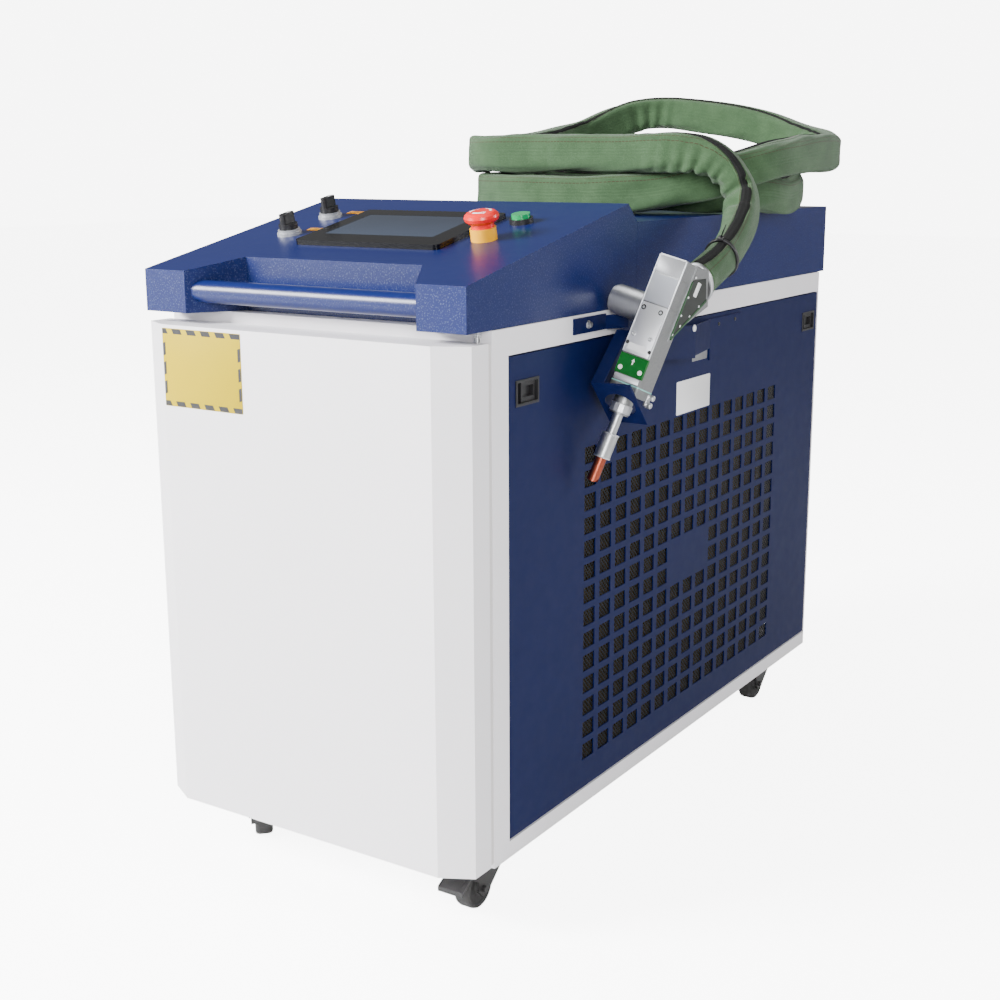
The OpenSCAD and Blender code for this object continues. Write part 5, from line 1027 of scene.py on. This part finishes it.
# gun: faces, screws, seal, bare plate, arrow, side plate with its edging, rings and clamp
def domeScrew(name, base, radius, rise, socket=0.45):
    # a screw head: a profile of flat rim, dome and socket, in shares of radius and rise, turned round w
    r = radius
    profile = [(r, -0.4), (r, rise * 0.35), (r * 0.92, rise * 0.7), (r * 0.7, rise), (r * socket, rise),
               (r * socket * 0.96, rise * 0.2), (0.05, rise * 0.2)]
    return turned(name, profile, base, 24)


gunParts = {"darkScrews": [(5.5, 99), (27.7, 98.5)], "brightScrews": [(5.9, 67), (27.8, 66.5)],
            "drawerScrews": [(5.2, 26.6), (30.6, 27.1)], "edgeScrews": [(2.6, 56.0), (32.6, 52.5)],
            "plate": (16, 52.5, 24, 8), "arrow": (18.0, 36.6), "sealZ": 11.0,
            "faces": [(12.6, 19.4, "brightAluminium"), (45.0, 105.2, "brightAluminium"),
                      (106.6, 139.6, "labelGrey"), (141.0, 161.0, "greyAluminium")],
            "faceIn": 1.6, "faceRise": 0.22, "edgeR": 0.85}
across = gun["width"] - 2 * gunParts["faceIn"]
for n, (low, high, finish) in enumerate(gunParts["faces"]):
    piece = raised("gunFace" + str(n), roundedRect(across, high - low, 0.8),
                   gunBase(gun["width"] / 2, 0, (low + high) / 2),
                   [(0, -0.1), (0, gunParts["faceRise"] - 0.1), (0.15, gunParts["faceRise"])])
    finishPiece(piece, paint[finish], "gun")
corners = []
for x in (0.55, gun["width"] - 0.55):
    origin, u, v, w = gunBase(x, 0.55, 45.0)
    corners.append(raised("e", circleOutline(gunParts["edgeR"], 14), (origin, u, -w, v),
                          [(0.3, 0), (0, 0.4), (0, 116), (0.3, 116.6)]))
finishPiece(outwards(joined("gunCorners", corners)), paint["brightAluminium"], "gun")
dark = [domeScrew("s", gunBase(x, 0, z), 3.0, 0.7, 0.55) for x, z in gunParts["darkScrews"]]
dark += [domeScrew("s", gunBase(x, -0.1, z), 2.3, 0.9, 0.5) for x, z in gunParts["edgeScrews"]]
finishPiece(joined("gunSetScrews", dark), paint["blackSteel"], "gun")
bright = [domeScrew("s", gunBase(x, 0, z), 2.7, 1.3, 0.4) for x, z in gunParts["brightScrews"]]
finishPiece(joined("gunScrews", bright), paint["chrome"], "gun")
finishPiece(joined("drawerScrews", [domeScrew("s", gunBase(x, 0, z), 2.9, 0.9, 0.3)
                                    for x, z in gunParts["drawerScrews"]]),
            paint["plate"], "drawer")
x, z, w, h = gunParts["plate"]
finishPiece(raised("gunPlate", roundedRect(w, h, 0.8), gunBase(x, 0, z),
                   [(0, -0.1), (0, 0.32), (0.2, 0.42)]), paint["plate"], "gun")


def arrowPlate():
    # an arrow's outline on the drawer's front, carried straight out of it
    base = gunBase(gunParts["arrow"][0], 0, gunParts["arrow"][1])
    outline = np.array([[-0.75, -3.6], [0.75, -3.6], [0.75, 0.2], [2.2, 0.2], [0, 3.8], [-2.2, 0.2],
                        [-0.75, 0.2]])
    rings = [onBase(base, outline, height) for height in (-0.1, 0.15)]
    return loft("drawerArrow", metres(np.array(rings)), None, False)


finishPiece(arrowPlate(), paint["plate"], "drawer")


def gunBand(name, z0, z1, rise, corner=1.6):
    # a thin band round the housing between two heights: four outlines joined in a closed loop
    outline, normals = roundedRect(gun["width"], gun["depth"], corner)
    base = axisBase(gun["width"] / 2, gun["depth"] / 2, 0)
    levels = ((0.4, z0), (-rise, z0 + 0.1), (-rise, z1 - 0.1), (0.4, z1))
    rings = [onBase(base, outline - normals * inset, z) for inset, z in levels]
    return outwards(meshFrom(name, metres(np.array(rings)), tubeFaces(4, len(outline)), None, False))


finishPiece(gunBand("gunSeal", gunParts["sealZ"] - 0.7, gunParts["sealZ"] + 0.7, 0.18),
            grainMaterial("tealSeal", linear(120, 196, 190), linear(170, 224, 216), 600, 0.05, 0.6, 0.2,
                          0.1), "gun")

handle = {"collarY": 84.0, "collarZ": 150.0, "lean": 45.0,
          "plateRise": 1.5, "edge": 3.2, "ring": (20.6, 26.1, 1.5, 3.5),
          "plate": [(31, 79), (31, 148), (62, 158), (84, 138)],
          "edges": (((29.6, 77), (29.6, 146)), ((29.8, 76.5), (86, 137))), "label": (49, 141, 10, 17),
          "rivets": ((33.5, 152), (33.5, 128), (33.5, 106), (41, 95), (56, 110.5), (71, 126), (30, 82))}


def sidePolygon(name, points, x, rise, outwardX=1):
    # a flat polygon on the gun's side, raised, with a slight bevel towards its middle
    p = np.asarray(points, float)
    centre = p.mean(0)
    rings = []
    for share, t in ((1, -0.05), (1, rise * 0.8), (0.985, rise)):
        q = centre + (p - centre) * share
        local = np.stack([np.full(len(q), x + outwardX * t), q[:, 0], q[:, 1]], -1)
        rings.append(np.array(gun["corner"]) + turnGun(local))
    return outwards(loft(name, metres(np.array(rings)), None, False))


sideX = gun["width"] + handle["plateRise"]
finishPiece(sidePolygon("handlePlate", handle["plate"], sideX, 0.8), paint["smoked"], "gun")
edges = []
for start, end in handle["edges"]:
    a, b = np.array(start, float), np.array(end, float)
    n = np.array([-(b - a)[1], (b - a)[0]]) / np.linalg.norm(b - a) * handle["edge"] / 2
    edges.append(sidePolygon("edge", [a - n, b - n, b + n, a + n], sideX, 1.2))
finishPiece(joined("handleEdging", edges), paint["edgeGreen"], "gun")
rivets = [domeScrew("r", gunBase(sideX + 0.7, y, z, "side"), 1.4, 0.7, 0.3) for y, z in handle["rivets"]]
finishPiece(joined("handleRivets", rivets), paint["plate"], "gun")
y, z, w, h = handle["label"]
label = raised("handleLabel", roundedRect(w, h, 1.2), gunBase(sideX + 0.75, y, z, "side"),
               [(0, 0), (0, 0.2), (0.2, 0.3)])
finishPiece(label, paint["plate"], "gun")


def ovalRing(name, halfX, halfY, thick, along, count=72):
    # a ring round the handle's oval collar: (halfX cos a, halfY sin a) plus a small oval about it
    lean = math.radians(handle["lean"])
    origin = gunPoint(gun["width"] / 2, handle["collarY"] + along * math.sin(lean),
                      handle["collarZ"] + along * math.cos(lean))
    u, v, w = (turnGun([1.0, 0, 0]), turnGun([0, math.cos(lean), -math.sin(lean)]),
               turnGun([0, math.sin(lean), math.cos(lean)]))
    a = np.linspace(0, 2 * np.pi, count, endpoint=False)
    b = np.linspace(0, 2 * np.pi, 10, endpoint=False)
    rim = origin + np.outer(halfX * np.cos(a), u) + np.outer(halfY * np.sin(a), v)
    out = unit(np.outer(np.cos(a) / halfX, u) + np.outer(np.sin(a) / halfY, v))
    rings = rim[:, None] + out[:, None] * (thick * np.cos(b))[None, :, None]
    rings = rings + w * (1.6 * thick * np.sin(b))[None, :, None]
    return outwards(meshFrom(name, metres(rings), tubeFaces(*rings.shape[:2])))


finishPiece(ovalRing("collarRing", *handle["ring"]), paint["chrome"], "gun")
clamp = {"y": 38.5, "z": (6.5, -2.5), "plateY": 39.0, "plateZ": 2.0, "plateWide": 9.0, "plateHigh": 14.0,
         "knob": [(0.05, 0), (3.6, 0), (3.6, 1.2), (3.0, 1.6), (3.0, 3.4), (3.6, 3.8), (3.6, 6.2),
                  (2.9, 7.0), (0.05, 7.0)]}
clampParts = [turned("c", clamp["knob"], gunBase(gun["width"], clamp["y"], z, "side"), 20)
              for z in clamp["z"]]
clampParts.append(raised("c", roundedRect(clamp["plateWide"], clamp["plateHigh"], 1.2),
                         gunBase(gun["width"] + 0.2, clamp["plateY"], clamp["plateZ"], "side"),
                         [(0, -2.5), (0, 0.4), (0.5, 0.9)]))
finishPiece(joined("gunClamp", clampParts), paint["chrome"], "gun")

collet = {"x": 17.65, "y": 16.0,
          "nut": [(11.0, -22.6), (12.6, -21.6), (12.6, -12.4), (11.4, -11.4), (11.0, -11.0)],
          "rings": [(9.6, 10.3, -49.6, -47.4), (9.6, 10.2, -77.4, -75.6)]}
nut = turned("colletNut", collet["nut"], axisBase(collet["x"], collet["y"], 0), 14, False)
finishPiece(outwards(nut), paint["chrome"], "gun")
rings = [turned("r", [(a, z0), (b, z0 + 0.4), (b, z1 - 0.4), (a, z1)],
                axisBase(collet["x"], collet["y"], 0), 40) for a, b, z0, z1 in collet["rings"]]
finishPiece(outwards(joined("nozzleRings", rings)), paint["chrome"], "nozzle_tube")


# holder: screws, the grey pad under its foot and the pale stud
def hexScrew(name, base, radius):
    # a round washer and a head with six sides, each a profile turned round w
    head = [(radius * 1.35, 0), (radius * 1.35, 0.8), (radius * 1.2, 1.0)]
    a = turned(name, [(0.05, 0)] + head + [(0.05, 1.0)], base, 24)
    b = turned(name, [(radius, 0.9), (radius, 3.6), (radius * 0.9, 4.2), (0.05, 4.2)], base, 6, False)
    return joined(name, [a, b])


holder = {"railScrew": (229.3, 195.0, 661.0), "railScrewR": 3.6, "footX": 228.55,
          "footScrews": ((548, 628), (600, 630)), "footScrewR": 2.6, "footScrewRise": 1.2,
          "padY": 495.0, "padZ": 592.3, "padWide": 44.0, "padHigh": 14.0, "stud": (245.0, 438.0, 634.0),
          "studProfile": [(0.05, 0), (4.4, 0), (4.4, 1.0), (3.6, 1.5), (0.05, 1.5)]}
finishPiece(hexScrew("holderScrews", sideBase(*holder["railScrew"]), holder["railScrewR"]), paint["steel"],
            "cabinet")
feet = [domeScrew("h", sideBase(holder["footX"], y, z), holder["footScrewR"], holder["footScrewRise"])
        for y, z in holder["footScrews"]]
finishPiece(joined("footScrews", feet), paint["blackSteel"], "cabinet")
pad = raised("holderPad", roundedRect(holder["padWide"], holder["padHigh"], 1.0),
             sideBase(cabinet["panelX"], holder["padY"], holder["padZ"]), [(0, 0), (0, 0.5), (0.3, 0.8)])
finishPiece(pad, paint["greyAluminium"], "cabinet")
paleStud = turned("holderStud", holder["studProfile"], sideBase(*holder["stud"]), 28)
finishPiece(paleStud, paint["plate"], "cabinet")
print("gun and holder made")

# floor and light
stage = {"size": 14.0, "seenFloor": 7.0, "seenRoom": 7.5, "roomLow": 0.36, "roomHigh": 0.10}
floorMesh = bpy.data.meshes.new("floor")
floorEnd = stage["size"]
floorMesh.from_pydata([(-floorEnd, -floorEnd, 0), (floorEnd, -floorEnd, 0), (floorEnd, floorEnd, 0),
                       (-floorEnd, floorEnd, 0)], [], [(0, 1, 2, 3)])
floor = bpy.data.objects.new("floor", floorMesh)
bpy.context.scene.collection.objects.link(floor)
floorPaint, floorTree, floorShader = baseMaterial("paleFloor")
floorShader.inputs["Base Color"].default_value = (0.9, 0.9, 0.9, 1)
floorShader.inputs["Roughness"].default_value = 0.7
floorShader.inputs["Emission Color"].default_value = (1, 1, 1, 1)
# the floor looks white to the camera without lighting the machine from below
seen = node(floorTree, "ShaderNodeLightPath").outputs["Is Camera Ray"]
floorTree.links.new(mathNode(floorTree, "MULTIPLY", seen, stage["seenFloor"]),
                    floorShader.inputs["Emission Strength"])
floorMesh.materials.append(floorPaint)


def paleRoom():
    # a dim room that is darker overhead, with a plain white backdrop where the camera looks straight at it
    world = bpy.data.worlds.new("paleRoom")
    bpy.context.scene.world = world
    world.use_nodes = True
    tree = world.node_tree
    way = node(tree, "ShaderNodeSeparateXYZ", {0: node(tree, "ShaderNodeTexCoord").outputs["Generated"]})
    share = node(tree, "ShaderNodeMapRange", {"Value": way.outputs["Z"], "From Min": 0.0, "From Max": 0.7,
                                              "To Min": stage["roomLow"], "To Max": stage["roomHigh"]})
    camera = node(tree, "ShaderNodeLightPath").outputs["Is Camera Ray"]
    back = tree.nodes["Background"]
    back.inputs["Color"].default_value = (1.0, 1.0, 1.0, 1)
    strength = node(tree, "ShaderNodeMix", {0: camera, 2: share.outputs["Result"], 3: stage["seenRoom"]},
                    data_type="FLOAT")
    tree.links.new(strength.outputs[0], back.inputs["Strength"])


paleRoom()


def softLight(name, place, target, size, power):
    # a rectangular light that points at its target
    data = bpy.data.lights.new(name, "AREA")
    data.shape, data.size, data.size_y, data.energy = "RECTANGLE", size[0], size[1], power
    light = bpy.data.objects.new(name, data)
    light.location = place
    light.rotation_euler = (Vector(target) - Vector(place)).to_track_quat("-Z", "Y").to_euler()
    bpy.context.scene.collection.objects.link(light)


# each light's place, the point it looks at, its two sides in metres and its power in watts
lights = {
    "keyLight": ((-2.5, -2.9, 2.4), (0, -0.2, 0.45), (1.5, 1.3), 590),
    "lowLight": ((-2.3, -3.0, 0.7), (0, -0.3, 0.5), (1.3, 0.9), 20),
    "cameraLight": ((1.9, -2.6, 1.5), (0.1, -0.1, 0.5), (0.9, 1.1), 90),
    "topLight": ((-0.3, 0.2, 3.4), (0, 0.1, 0.6), (1.6, 1.6), 44),
    "sideLight": ((2.4, 2.0, 1.5), (0.1, 0.1, 0.5), (1.0, 1.2), 50),
}
for name, values in lights.items():
    softLight(name, *values)
